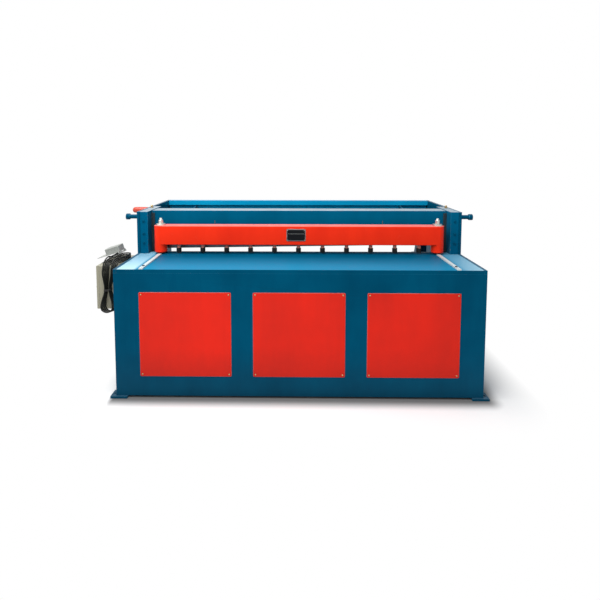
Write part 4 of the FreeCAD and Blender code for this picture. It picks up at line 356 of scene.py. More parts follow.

# Covers of the three windows: 4 mm sheet with a folded rim behind, powder coated red with a fine dry
# texture. Each is held by a plated screw at every corner.
# The red covers are darker towards the floor, partly grime and partly painted shade
red = finish(
    "Red powder coat", enamel, 0.00004, Colour=(0.68, 0.019, 0.009), Deep=(0.54, 0.018, 0.01),
    Worn=(0.62, 0.08, 0.06), Gloss=0.5, Peel=900.0, Wear=0.06, Dust=0.1, Grime=0.35, Shine=0.07)
# The folds wear a lighter, pinkish red: partly worn coat, partly a painted highlight
red_fold_worn_and_lit = finish(
    "Red powder coat on folds", enamel, 0.00004, Colour=(0.62, 0.17, 0.14), Deep=(0.5, 0.11, 0.09),
    Worn=(0.6, 0.3, 0.26), Gloss=0.45, Peel=900.0, Wear=0.3, Chips=0.15, Dust=0.1, Grime=0.1, Shine=0.2)
for node in ("left_cover", "middle_cover", "right_cover"):
    dress(node, 0.0012, red, red_fold_worn_and_lit)

ground, given, sent, places = effect("Ground steel", {
    "Colour": (0.55, 0.55, 0.56, 1), "Dark": (0.3, 0.3, 0.31, 1), "Stain": (0.16, 0.1, 0.06, 1),
    "Gloss": 0.28, "Along": (3.0, 160.0, 160.0), "Stained": 0.15})
lines_cut = noise(ground, stretched(ground, places["Object"], given["Along"]), 4.0, 4.0, 0.65)
patches = noise(ground, places["Object"], 9.0, 5.0, 0.6)
speck = noise(ground, places["Object"], 60.0, 6.0, 0.7)
tone = ranged(ground, lines_cut, 0.2, 0.8, 0.55, 1.0)
tone = times(ground, tone, ranged(ground, patches, 0.3, 0.7, 0.7, 1.0))
tone = mixed(ground, tone, given["Dark"], given["Colour"])
stained = times(ground, ranged(ground, speck, 0.55, 0.72), given["Stained"])
ground.links.new(mixed(ground, stained, tone, given["Stain"]), sent["Colour"])
rough = plus(ground, given["Gloss"], ranged(ground, patches, 0.3, 0.8, 0.0, 0.2))
ground.links.new(plus(ground, rough, times(ground, stained, 0.3)), sent["Roughness"])
ground.links.new(lines_cut, sent["Height"])
steel = finish("Bright steel", ground, 0.00002, Metallic=1.0)
steel_edge = finish(
    "Bright steel on edges", ground, 0.00001, Colour=(0.8, 0.8, 0.8), Dark=(0.6, 0.6, 0.6), Gloss=0.2,
    Metallic=1.0)
zinc = finish(
    "Zinc plate", ground, 0.00001, Colour=(0.78, 0.77, 0.71), Dark=(0.5, 0.49, 0.45), Gloss=0.34,
    Along=(40, 40, 40), Metallic=1.0)

screws, given, sent = grown("Screw heads", {
    "Radius": 0.005, "Height": 0.003, "Flat": 0.55, "Socket": 0.5, "Sides": 24, "Drive": 6,
    "Facing": (0.0, 0.0, 0.0), "Seed": 3, "Material": ""})
radius, height = given["Radius"], given["Height"]
rim = times(screws, height, given["Flat"])
base = formed(screws, "MeshCylinder", {"Vertices": given["Sides"], "Radius": radius, "Depth": rim})
dome = formed(screws, "MeshCone", {
    "Vertices": given["Sides"], "Radius Top": times(screws, radius, 0.74), "Radius Bottom": radius,
    "Depth": maths(screws, "SUBTRACT", height, rim)})
rise = combined(screws, z=times(screws, rim, 0.5))
joined = screws.nodes.new("GeometryNodeJoinGeometry")
screws.links.new(formed(screws, "Transform", {"Geometry": dome, "Translation": rise}), joined.inputs[0])
screws.links.new(base, joined.inputs[0])
merged = formed(screws, "MergeByDistance", {"Geometry": joined.outputs[0], "Distance": 1e-6})
driver = formed(screws, "MeshCylinder", {
    "Vertices": given["Drive"], "Radius": times(screws, radius, given["Socket"]), "Depth": height})
rise = combined(screws, z=times(screws, height, 0.85))
driver = formed(screws, "Transform", {"Geometry": driver, "Translation": rise})
cut = formed(screws, "MeshBoolean", {"Mesh 1": merged, "Mesh 2": driver}, operation="DIFFERENCE")
spun = {"Min": 0.0, "Max": 6.283, "Seed": given["Seed"]}
spun = add(screws, "FunctionNodeRandomValue", spun, data_type="FLOAT").outputs["Value"]
spun = add(screws, "FunctionNodeEulerToRotation", {0: combined(screws, z=spun)}).outputs[0]
facing = add(screws, "FunctionNodeEulerToRotation", {0: given["Facing"]}).outputs[0]
turn = add(screws, "FunctionNodeRotateRotation", {0: facing, 1: spun}, rotation_space="LOCAL").outputs[0]
heads = formed(screws, "InstanceOnPoints", {"Points": given["Geometry"], "Instance": cut, "Rotation": turn})
end_tree(screws, heads, given, sent)
FORWARD = (pi / 2, 0.0, 0.0)
BACKWARD = (-pi / 2, 0.0, 0.0)
LEFTWARD = (0.0, -pi / 2, 0.0)
RIGHTWARD = (0.0, pi / 2, 0.0)


def fasten(name, body, points, radius, height, facing, metal, nodes=(), flat=0.55, socket=0.5,
           sides=24):
    """Heads of screws at the points; flat is the rim's share of the height, socket that of the radius."""
    mesh = raised(screws, seats(points), Radius=radius, Height=height, Flat=flat, Socket=socket,
                  Sides=sides, Facing=facing, Material=metal)
    return put(name, mesh, body, (), nodes)


gilt = finish(
    "Yellow passivated zinc", ground, 0.00001, Colour=(0.5, 0.38, 0.2), Dark=(0.3, 0.22, 0.11), Gloss=0.32,
    Along=(40, 40, 40), Metallic=1.0)
COVERS = (-0.732, 0.0, 0.732)
corners = [(x + side * 0.281, -0.6505, z) for x in COVERS for side in (-1, 1) for z in (0.162, 0.687)]
fasten("cover_screw_heads", "root", corners, 0.0047, 0.003, FORWARD, gilt, ["cover_screws"])

# Guide posts: solid bars welded inside the side frames, with the liners that the carrier slides on.
# The liners run in dark grease and are set by hexagon screws in front. A brass oil cup stands on top.
# The posts wear the lighter blue, which is painted light
dress("guide_posts", 0.0016, lit_blue_with_dust, blue_edge_worn_and_lit)
TABLE_TOP = 0.85
FRAME_TOP = 1.16
above = [TABLE_TOP + (FRAME_TOP - TABLE_TOP) * share for share in (0.25, 0.475, 0.775)]
bolts = [(side * 1.14, -0.1895, z) for side in (-1, 1) for z in above]
fasten("guide_post_bolt_heads", "root", bolts, 0.0096, 0.0065, FORWARD, blue,
       ["guide_post_bolts"], flat=0.8, socket=0.05, sides=6)
greased = finish(
    "Greased slide", ground, 0.00002, Colour=(0.035, 0.055, 0.065), Dark=(0.014, 0.022, 0.027), Gloss=0.34,
    Stained=0.2, Along=(120, 120, 4), Metallic=0.5)
dress("slide_guides", 0.0005, greased, greased)
lines = []
for side in (-1, 1):
    for y, low in ((-0.187, 0.852), (0.153, 0.445)):
        lines.append(((side * INSIDE, y, low), (side * INSIDE, y, 1.156)))
weld("guide_post_welds", "root", lines, 0.004)


def lathe(shape, profile, place, axis="Z", sides=32):
    """Adds a turned solid to a bmesh: (along, radius) points about an axis through place."""
    rings = []
    faces = []
    for along, radius in profile:
        ring = []
        for index in range(sides if radius > 1e-7 else 1):
            turn = 2 * pi * index / sides
            a, b = radius * cos(turn), radius * sin(turn)
            offset = {"X": (along, a, b), "Y": (a, along, b), "Z": (a, b, along)}[axis]
            ring.append(Vector(place) + Vector(offset))
        again = rings and (along, radius) == profile[0]
        rings.append(rings[0] if again else [shape.verts.new(point) for point in ring])
    for low, high in zip(rings, rings[1:]):
        if len(low) == len(high) == 1:
            continue
        for index in range(sides):
            after = (index + 1) % sides
            corners = [low[index % len(low)], low[after % len(low)]]
            corners += [high[after % len(high)], high[index % len(high)]]
            faces.append(shape.faces.new(list(dict.fromkeys(corners))))
    bmesh.ops.recalc_face_normals(shape, faces=faces)


def slab(shape, low, high, bevel=0.0):
    """Adds a block with broken edges to a bmesh."""
    size = Matrix.Diagonal((*(Vector(high) - Vector(low)), 1.0))
    place = Matrix.Translation((Vector(low) + Vector(high)) / 2)
    made = bmesh.ops.create_cube(shape, size=1.0, matrix=place @ size)
    if bevel:
        edges = {edge for vert in made["verts"] for edge in vert.link_edges}
        bmesh.ops.bevel(shape, geom=list(edges), offset=bevel, segments=2, profile=0.5, affect="EDGES",
                        clamp_overlap=True)


brass = finish(
    "Lacquered brass", ground, 0.00001, Colour=(0.5, 0.37, 0.2), Dark=(0.3, 0.21, 0.1), Gloss=0.26,
    Stained=0.3, Along=(60, 60, 60), Metallic=1.0)
CUP = [(0, 0), (0, 0.0105), (0.001, 0.0118), (0.0065, 0.0118), (0.0075, 0.0105), (0.0082, 0.0082),
       (0.0105, 0.0082), (0.0112, 0.0096), (0.0165, 0.0096), (0.0176, 0.0088), (0.0205, 0.0062),
       (0.0216, 0.003), (0.0218, 0)]
shape = bmesh.new()
for side in (-1, 1):
    lathe(shape, CUP, (side * 1.155, 0.06, FRAME_TOP), sides=28)
put("oil_cups_turned", shape, "root", [brass], ["oil_cups"])

# Lifting pins and rear tie beam: round bar stubs with a turned collar for a sling, welded outside the
# frames, and a folded angle across the back that keeps the frames upright.
dress("lifting_pins", 0.0016, blue, blue_edge_worn_and_lit)
# The tie beam wears a much lighter blue than the rest: painted light on its face. Its low wear is for a part
# out of reach
lit_tie_beam_blue = finish(
    "Blue enamel out of reach", enamel, 0.00006, Colour=(0.003, 0.31, 0.56), Deep=(0.002, 0.25, 0.47),
    Worn=(0.05, 0.34, 0.55), Wear=0.04, Shine=0.3, Tint=(0.04, 0.3, 0.5))
dress("rear_tie_beam", 0.0016, lit_tie_beam_blue, blue_edge_worn_and_lit)


def around(radius, y, z, angles):
    """Places on a circle in the YZ plane, as (y, z)."""
    turns = [radians(angle) for angle in angles]
    return [(y + radius * cos(turn), z + radius * sin(turn)) for turn in turns]


ring = around(0.0165, -0.085, 1.11, range(0, 361, 20))
lines = []
for side in (-1, 1):
    for first, second in zip(ring, ring[1:]):
        lines.append(((side * 1.191, *first), (side * 1.191, *second)))
    lines.append(((side * INSIDE, 0.645, 0.945), (side * INSIDE, 0.645, 1.155)))
    lines.append(((side * INSIDE, 0.59, 1.119), (side * INSIDE, 0.62, 1.119)))
weld("frame_welds", "root", lines, 0.004)

# Squaring strips: ground flat bars screwed to the table's ends, against which a plate is squared.
# They are the only bright steel on top. Each has one black screw, whose head stands a little proud.
strip_steel = finish(
    "Ground strip", ground, 0.00002, Colour=(0.6, 0.67, 0.68), Dark=(0.46, 0.53, 0.54), Gloss=0.5,
    Stained=0.12, Along=(160, 3, 160), Metallic=0.5)
dark_oxide = finish(
    "Black oxide", ground, 0.00001, Colour=(0.03, 0.03, 0.032), Dark=(0.014, 0.014, 0.016), Gloss=0.42,
    Stained=0.2, Along=(50, 50, 50), Metallic=0.2)
dress("squaring_strips", 0.0008, strip_steel, steel_edge)
UPWARD = (0.0, 0.0, 0.0)
places = [(side * 1.013, -0.585, 0.857) for side in (-1, 1)]
fasten("strip_screw_heads", "root", places, 0.0088, 0.009, UPWARD, dark_oxide,
       ["squaring_strip_screws"], flat=0.75, socket=0.45)

# Blade carrier: a deep plate with a flange and gussets behind, stiff enough to push the upper blade
# down, and an arm at each end that holds the yoke. The blue goes on over the weld beads.
# The carrier wears the lighter blue, which is painted light
dress("blade_carrier", 0.0016, lit_blue_with_dust, blue_edge_worn_and_lit)
dress("carrier_arms", 0.0014, blue, blue_edge_worn_and_lit)
lines = []
for centre in (-0.6, -0.3, 0.0, 0.3, 0.6):
    for side in (-0.005, 0.005):
        lines.append(((centre + side, -0.0697, 0.97), (centre + side, -0.0697, 1.138)))
        lines.append(((centre + side, -0.067, 1.14), (centre + side, 0.04, 1.14)))
for side in (-1, 1):
    lines.append(((side * 1.062, -0.0697, 0.9), (side * 1.062, -0.0697, 1.138)))
weld("carrier_welds", "carrier", lines, 0.0045)

# Blades: two bars of hardened tool steel, ground on all sides and turned round when an edge is dull.
# Socket screws sit in counterbores, and the cutting edges stay bright while the faces are oiled dark.
tool = finish(
    "Oiled tool steel", ground, 0.00002, Colour=(0.2, 0.2, 0.215), Dark=(0.07, 0.07, 0.08), Gloss=0.3,
    Stained=0.3, Metallic=0.9)
for node in ("upper_blade", "lower_blade"):
    dress(node, 0.0004, tool, steel_edge)


def rake(x):
    """Height of the upper blade's edge at x; it falls towards the left."""
    return 0.8735 + 0.0158 * (x + 1.02)


ROW = [index - 3.5 for index in range(8)]
upper = [(share * 0.255, -0.1035, rake(share * 0.255) + 0.035) for share in ROW]
lower = [(share * 0.26, -0.1165, 0.8025) for share in ROW]
for name, body, points, facing in (("upper", "carrier", upper, FORWARD), ("lower", "root", lower, BACKWARD)):
    fasten(name + "_blade_screws", body, points, 0.0085, 0.009, facing, dark_oxide,
           [name + "_blade_bolts"], flat=0.9)

# Crank shaft and slide blocks: a turned shaft with a disc and a pin at each end, and bronze blocks
# that the pins push to and fro in the yokes of the carrier arms, wet with grease.
turned = finish(
    "Turned steel", ground, 0.00002, Colour=(0.5, 0.5, 0.5), Dark=(0.26, 0.26, 0.27), Gloss=0.25,
    Stained=0.3, Along=(180, 6, 6), Metallic=1.0)
bronze = finish(
    "Greasy bronze", ground, 0.00002, Colour=(0.5, 0.31, 0.12), Dark=(0.25, 0.15, 0.06), Gloss=0.24,
    Stained=0.5, Along=(30, 30, 30), Metallic=1.0)
dress("main_shaft", 0.0012, turned, steel_edge)
for node in ("left_slide_block", "right_slide_block"):
    dress(node, 0.0012, bronze, bronze)

# Gears and bearings: a cast spur wheel with six lightening holes, its pinion cut on the countershaft,
# and flanged plain bearings bolted to the pedestals. Castings are left rough and primed dark.
cast = finish(
    "Cast iron", enamel, 0.0003, Colour=(0.12, 0.125, 0.13), Deep=(0.07, 0.072, 0.075),
    Worn=(0.25, 0.24, 0.22), Gloss=0.5, Peel=420.0, Wear=0.5, Dust=0.3, Grime=0.2, Shine=0.4)
teeth = finish(
    "Greased teeth", ground, 0.00002, Colour=(0.3, 0.29, 0.27), Dark=(0.1, 0.09, 0.08), Gloss=0.2,
    Stained=0.6, Along=(8, 90, 90), Metallic=0.9)
dress("main_gear", 0.0009, cast, teeth)
dress("pinion_shaft", 0.0006, teeth, steel_edge)
dress("shaft_bearings", 0.001, cast, teeth)
MAIN_SHAFT = (0.08, 0.54)
COUNTERSHAFT = (0.31931, 0.5822)
flanges = ((-0.858, MAIN_SHAFT, RIGHTWARD), (0.858, MAIN_SHAFT, LEFTWARD), (0.902, COUNTERSHAFT, RIGHTWARD))
for index, (x, centre, way) in enumerate(flanges):
    circle = [(x, *place) for place in around(0.047, *centre, (45, 135, 225, 315))]
    fasten("bearing_bolts_%d" % (index + 1), "root", circle, 0.0058, 0.005, way, dark_oxide,
           flat=0.85)

# Belt drive: a grooved flywheel and motor pulley with two V-belts, and a totally closed motor with
# cast fins, a fan cowl and a terminal box on top, bolted to a plate on the rear channels.
dress("flywheel", 0.0012, cast, teeth)
dress("motor_pulley", 0.0006, turned, steel_edge)
rubber = finish(
    "Belt rubber", enamel, 0.00008, Colour=(0.014, 0.014, 0.014), Deep=(0.009, 0.009, 0.009),
    Worn=(0.045, 0.044, 0.042), Gloss=0.62, Peel=1200.0, Wear=0.3, Dust=0.12, Shine=0.2)
dress("drive_belts", 0.0008, rubber, rubber)
motor_grey = finish(
    "Motor enamel", enamel, 0.00015, Colour=(0.15, 0.18, 0.19), Deep=(0.1, 0.125, 0.13),
    Worn=(0.3, 0.32, 0.32), Gloss=0.42, Peel=380.0, Wear=0.2, Dust=0.35, Shine=0.35)
dress("motor", 0.0009, motor_grey, motor_grey)
finning, given, sent = grown("Motor fins", {
    "Fins": 36, "Inner": 0.075, "Rise": 0.009, "Length": 0.17, "Thickness": 0.0022, "Material": ""})
radius = plus(finning, given["Inner"], times(finning, given["Rise"], 0.5))
ring = formed(finning, "MeshCircle", {"Vertices": given["Fins"], "Radius": radius})
size = combined(finning, given["Rise"], given["Thickness"], given["Length"])
fin = formed(finning, "MeshCube", {"Size": size})
index = formed(finning, "InputIndex", {})
angle = maths(finning, "DIVIDE", times(finning, index, 2 * pi), given["Fins"])
turn = add(finning, "FunctionNodeEulerToRotation", {0: combined(finning, z=angle)}).outputs[0]
fins = formed(finning, "InstanceOnPoints", {"Points": ring, "Instance": fin, "Rotation": turn})
laid = formed(finning, "Transform", {
    "Geometry": fins, "Rotation": (0.0, pi / 2, 0.0), "Translation": (0.838, 0.5, 0.215)})
end_tree(finning, laid, given, sent)
put("motor_fins", raised(finning, seats([(0, 0, 0)]), Material=motor_grey), "root")

# Drive pedestals, belt guard and chute: flame-cut plates on the channels, a folded sheet guard round
# the belts on its own foot, and a galvanised sheet that lets the cut pieces slide out at the back.
dress("drive_pedestals", 0.0014, blue, blue_edge_worn_and_lit)
dress("drive_guard", 0.0012, blue, blue_edge_worn_and_lit)
spangled, given, sent, places = effect("Galvanised", {
    "Colour": (0.56, 0.58, 0.6, 1), "Dark": (0.36, 0.38, 0.4, 1), "Gloss": 0.34})
flake = add(spangled, "ShaderNodeTexVoronoi", {"Vector": places["Object"], "Scale": 70.0}).outputs["Color"]
crystal = add(spangled, "ShaderNodeSeparateColor", {0: flake}).outputs[0]
streak = noise(spangled, stretched(spangled, places["Object"], (40, 4, 4)), 3.0, 3.0)
tone = ranged(spangled, crystal, 0, 1, 0.5, 1.0)
tone = times(spangled, tone, ranged(spangled, streak, 0.3, 0.7, 0.75, 1.0))
spangled.links.new(mixed(spangled, tone, given["Dark"], given["Colour"]), sent["Colour"])
spangled.links.new(plus(spangled, given["Gloss"], times(spangled, crystal, 0.15)), sent["Roughness"])
spangled.links.new(crystal, sent["Height"])
galvanised = finish("Galvanised sheet", spangled, 0.00001, Metallic=1.0)
dress("rear_chute", 0.0004, galvanised, galvanised)
lines = []
for x in (-0.89, -0.87, 0.87, 0.89):
    for front, back in ((-0.09, -0.01), (0.26, 0.33)):
        lines.append(((x, front, 0.095), (x, back, 0.095)))
weld("pedestal_welds", "root", lines, 0.0045)

# Hold-down beam: a welded box in signal red with a round column at each end. Studs from the bed pass
# through the columns, and springs round them lift the beam. Eleven rubber feet press on the plate.
beam_red = finish(
    "Signal red enamel", enamel, 0.00006, Colour=(0.93, 0.034, 0.01), Deep=(0.8, 0.026, 0.009),
    Worn=(0.8, 0.25, 0.16), Gloss=0.32, Wear=0.08, Dust=0.26, Shine=0.5, Tint=(0.5, 0.06, 0.03))
# A lighter red on the beam's edges and on the clamp stems: partly worn paint, partly a painted highlight
pale_red_worn_and_lit = finish(
    "Signal red on edges", enamel, 0.00004, Colour=(0.92, 0.36, 0.26), Deep=(0.88, 0.26, 0.18),
    Worn=(0.9, 0.55, 0.46), Gloss=0.3, Wear=0.5, Chips=0.25, Dust=0.0, Shine=0.4)
oily = finish(
    "Oily bare steel", ground, 0.00001, Colour=(0.1, 0.09, 0.08), Dark=(0.04, 0.035, 0.03), Gloss=0.35,
    Stained=0.5, Metallic=0.7)
beam = dress("hold_down_beam", 0.0016, beam_red, pale_red_worn_and_lit, oily)
for face in beam.data.polygons:
    if face.center.z > 1.0605:
        face.material_index = 2
BEAM_Y = -0.176
COLUMN_X = 1.017
STEM = [(0.893, 0), (0.893, 0.0132), (0.8942, 0.0135), (0.9165, 0.0135), (0.9185, 0.0152),
        (0.921, 0.0155), (0.921, 0)]
PAD = [(0.8622, 0), (0.8622, 0.0172), (0.8632, 0.0183), (0.8645, 0.0185), (0.8905, 0.0185),
       (0.892, 0.0181), (0.8929, 0.0165), (0.8929, 0)]
for name, profile, slot, material, node in (
        ("clamp_stems_turned", STEM, "red_beam", pale_red_worn_and_lit, "clamp_stems"),
        ("clamp_pads_moulded", PAD, "black_rubber", rubber, "clamp_pads")):
    shape = bmesh.new()
    for index in range(11):
        lathe(shape, profile, ((index - 5) * 0.177, BEAM_Y, 0), sides=28)
    put(name, shape, "hold_down", [material], [node])
coiling, given, sent = grown("Hold-down springs", {
    "Wire": 0.0034, "Radius": 0.027, "Turns": 13.0, "Height": 0.189, "Material": ""})
helix = formed(coiling, "CurveSpiral", {
    "Resolution": 26, "Rotations": given["Turns"], "Start Radius": given["Radius"],
    "End Radius": given["Radius"], "Height": given["Height"]})
wire = formed(coiling, "CurvePrimitiveCircle", {"Resolution": 10, "Radius": given["Wire"]})
coil = formed(coiling, "CurveToMesh", {"Curve": helix, "Profile Curve": wire, "Fill Caps": True})
pair = formed(coiling, "InstanceOnPoints", {"Points": given["Geometry"], "Instance": coil})
end_tree(coiling, pair, given, sent)
feet = [(side * COLUMN_X, BEAM_Y, 0.8538) for side in (-1, 1)]
coils = raised(coiling, seats(feet), Material=dark_oxide)
coils.polygons.foreach_set("use_smooth", [True] * len(coils.polygons))
springs = put("hold_down_coils", coils, "root", (), ["hold_down_springs"])
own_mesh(springs)
WASHER = [(1.0593, 0.0106), (1.0593, 0.0333), (1.0602, 0.034), (1.0705, 0.034), (1.0713, 0.0333),
          (1.0713, 0.0106), (1.0593, 0.0106)]
NUT = [(1.0714, 0.0106), (1.0714, 0.0155), (1.0725, 0.0173), (1.0981, 0.0173), (1.0993, 0.0155),
       (1.0993, 0.0106), (1.0714, 0.0106)]
shape = bmesh.new()
for side in (-1, 1):
    thread = [(0.825, 0), (0.825, 0.01), (1.0, 0.01)]
    for step in range(43):
        z = 1.0 + 0.0025 * step
        thread += [(z + 0.0007, 0.0091), (z + 0.0018, 0.01)]
    thread += [(1.1105, 0.0098), (1.112, 0.0085), (1.112, 0)]
    for profile, sides in ((thread, 24), (WASHER, 48), (NUT, 6)):
        lathe(shape, profile, (side * COLUMN_X, BEAM_Y, 0), sides=sides)
put("stud_hardware", shape, "root", [zinc], ["hold_down_studs"])
plate_black = finish(
    "Black anodised plate", enamel, 0.00001, Colour=(0.006, 0.006, 0.007), Deep=(0.004, 0.004, 0.005),
    Worn=(0.06, 0.06, 0.06), Gloss=0.42, Peel=1200.0, Wear=0.1, Dust=0.02, Shine=0.12)
dress("nameplate", 0.0004, plate_black, zinc)
shape = bmesh.new()
RULES = [((-0.085, 0.9535), (0.049, 0.955)), ((-0.085, 1.035), (0.049, 1.0365)),
         ((-0.085, 0.9535), (-0.0835, 1.0365)), ((0.0475, 0.9535), (0.049, 1.0365)),
         ((-0.076, 1.004), (0.04, 1.005))]
for (x0, z0), (x1, z1) in RULES:
    slab(shape, (x0, -0.2243, z0), (x1, -0.2239, z1))
put("nameplate_rim", shape, "hold_down", [zinc])
rivets = [(x, -0.2245, z) for x in (-0.079, 0.043) for z in (0.9595, 1.0305)]
fasten("nameplate_rivets", "hold_down", rivets, 0.0022, 0.0012, FORWARD, zinc, flat=0.3,
       socket=0.05)

# Back gauge: two racks with a stop bar behind the blades, moved together by pinions on a cross shaft.
# A crank with a loose plastic grip turns it from the left. All is machined and left bare.
dress("gauge_racks", 0.0004, steel, steel_edge)
dress("stop_bar", 0.001, blue, blue_edge_worn_and_lit)
dress("gauge_cross_shaft", 0.0004, steel, steel_edge)
dress("crank_arm", 0.0012, steel, steel_edge)
dress("gauge_brackets", 0.0012, blue, blue_edge_worn_and_lit)
grip_red = finish(
    "Red phenolic", enamel, 0.00001, Colour=(0.54, 0.06, 0.028), Deep=(0.45, 0.045, 0.022),
    Worn=(0.6, 0.16, 0.1), Gloss=0.26, Peel=1200.0, Wear=0.15, Dust=0.02, Shine=0.5)
GRIP = [(-0.119, 0.0), (-0.119, 0.0063), (-0.001, 0.0063), (-0.001, 0.0175), (-0.003, 0.0205),
        (-0.008, 0.0222), (-0.03, 0.0238), (-0.066, 0.024), (-0.106, 0.0238), (-0.116, 0.0225),
        (-0.1235, 0.0188), (-0.129, 0.0125), (-0.1315, 0.006), (-0.132, 0.0)]
shape = bmesh.new()
lathe(shape, GRIP, (-1.216, 0.174, 1.127), "X", 40)
put("crank_grip_moulded", shape, "crank_grip", [grip_red], ["crank_grip"])

# Electrical cabinet: a folded sheet box on the left side frame, beige powder coat with a fine texture,
# and a hinged door with two push buttons, a quarter-turn latch and a row of pressed louvres.
beige = finish(
    "Beige powder coat", enamel, 0.0001, Colour=(0.3, 0.288, 0.213), Deep=(0.26, 0.248, 0.184),
    Worn=(0.45, 0.45, 0.4), Gloss=0.46, Peel=700.0, Wear=0.12, Dust=0.08, Shine=0.3)
beige_edge = finish(
    "Beige powder coat on folds", enamel, 0.0001, Colour=(0.5, 0.49, 0.4), Deep=(0.42, 0.41, 0.33),
    Worn=(0.6, 0.6, 0.56), Gloss=0.42, Peel=700.0, Wear=0.4, Chips=0.2, Dust=0.0, Shine=0.35)
dress("cabinet_box", 0.0012, beige, beige_edge)
dress("cabinet_door", 0.0008, beige, beige_edge)
DOOR_FACE = -1.36
shape = bmesh.new()
for index in range(9):
    z = 0.585 + 0.009 * index
    slab(shape, (DOOR_FACE - 0.0018, -0.407, z), (DOOR_FACE, -0.287, z + 0.0042), 0.0007)
put("door_louvres", shape, "cabinet_door", [beige, beige_edge])
shape = bmesh.new()
latch = [(-1.3665, 0), (-1.3665, 0.0072), (-1.3655, 0.0085), (-1.3612, 0.009), (DOOR_FACE, 0.0105),
         (DOOR_FACE, 0)]
lathe(shape, latch, (0, -0.487, 0.69), "X")
slab(shape, (-1.3682, -0.4885, 0.684), (-1.3664, -0.4855, 0.696), 0.0004)
put("door_latch", shape, "cabinet_door", [zinc])
green = finish(
    "Green moulding", enamel, 0.00001, Colour=(0.012, 0.3, 0.05), Deep=(0.01, 0.24, 0.04),
    Worn=(0.5, 0.5, 0.45), Gloss=0.2, Peel=1400.0, Wear=0.05, Dust=0.02, Shine=0.5)
scarlet = finish(
    "Red moulding", enamel, 0.00001, Colour=(0.72, 0.025, 0.014), Deep=(0.6, 0.02, 0.012),
    Worn=(0.5, 0.5, 0.45), Gloss=0.2, Peel=1400.0, Wear=0.05, Dust=0.02, Shine=0.5)
dress("start_button", 0.0006, green, green)
dress("stop_button", 0.0006, scarlet, scarlet)
HINGE = (-1.3405, -0.1807)
ROUNDED = 0.0006
shape = bmesh.new()
for z in (0.593, 0.746):
    for low, high in ((0.0, 0.0128), (0.0136, 0.0264), (0.0272, 0.04)):
        knuckle = [(low, 0), (low, 0.0055), (low + ROUNDED, 0.006), (high - ROUNDED, 0.006),
                   (high, 0.0055), (high, 0)]
        lathe(shape, knuckle, (*HINGE, z), sides=24)
    pin = [(-0.0015, 0), (-0.0015, 0.0025), (0.0415, 0.0025), (0.0415, 0)]
    lathe(shape, pin, (*HINGE, z), sides=16)
put("hinge_knuckles", shape, "root", [zinc], ["cabinet_hinges"])
moulded = finish(
    "Black moulding", enamel, 0.00003, Colour=(0.022, 0.022, 0.022), Deep=(0.014, 0.014, 0.014),
    Worn=(0.08, 0.08, 0.08), Gloss=0.36, Peel=1000.0, Wear=0.2, Dust=0.1, Shine=0.45)
dress("cable_gland", 0.0004, moulded, moulded)
shape = bmesh.new()
relief = [(0.0, 0.0047), (0.0, 0.0056)]
for step in range(5):
    for along, radius in ((0.0, 0.0058), (0.0018, 0.0062), (0.0022, 0.0053)):
        relief.append((0.002 + 0.0036 * step + along, radius + 0.0005 * step))
lathe(shape, relief + [(0.022, 0.0082), (0.022, 0.0047), (0.0, 0.0047)], (-1.333, -0.4775, 0.527), "Y", 24)
put("strain_relief", shape, "root", [moulded])

# Foot switch: a grey steel treadle on a base plate, with a pressed hood over the contacts. It is put
# away on top of the cabinet with its lead, so it leans on the folded cable and the side frame.
switch_grey = finish(
    "Switch enamel", enamel, 0.00008, Colour=(0.27, 0.285, 0.265), Deep=(0.22, 0.232, 0.215),
    Worn=(0.5, 0.5, 0.47), Gloss=0.4, Peel=500.0, Wear=0.3, Dust=0.15, Shine=0.4)
switch_edge = finish(
    "Switch enamel on edges", enamel, 0.00005, Colour=(0.4, 0.41, 0.39), Deep=(0.32, 0.33, 0.31),
    Worn=(0.6, 0.6, 0.57), Gloss=0.36, Peel=500.0, Wear=0.6, Chips=0.4, Dust=0.0, Shine=0.4)
dress("foot_switch_base", 0.0005, switch_grey, switch_edge)
dress("foot_switch_pedal", 0.0007, switch_grey, switch_edge)
TILT = radians(26.7)
OPEN = radians(9.0)
TREADLE_HINGE = (0.144, 0.009)
SWITCH = Vector((-1.352, -0.435, 0.8363))


def turned_by(angle, x, z):
    return x * cos(angle) - z * sin(angle), x * sin(angle) + z * cos(angle)


def on_switch(x, y, z, opened=0.0):
    """Place of a point given in the foot switch's own frame, on its base or on its open treadle."""
    if opened:
        a, b = turned_by(-opened, x - TREADLE_HINGE[0], z - TREADLE_HINGE[1])
        x, z = TREADLE_HINGE[0] + a, TREADLE_HINGE[1] + b
    x, z = turned_by(TILT, x, z)
    return SWITCH + Vector((x, y, z))


STUD_FACES = ((0, 3, 2, 1), (4, 5, 6, 7), (0, 1, 5, 4), (1, 2, 6, 5), (2, 3, 7, 6), (3, 0, 4, 7))
shape = bmesh.new()
for row in range(6):
    for column in range(9):
        x, y = -0.009 + 0.009 * row, 0.011 + 0.011 * column
        corners = []
        for half, z in ((0.0026, 0.0172), (0.0018, 0.0182)):
            for a, b in ((-1, -1), (1, -1), (1, 1), (-1, 1)):
                corners.append(shape.verts.new(on_switch(x + a * half, y + b * half, z, OPEN)))
        for face in STUD_FACES:
            shape.faces.new([corners[index] for index in face])
put("treadle_studs", shape, "foot_pedal", [switch_edge])

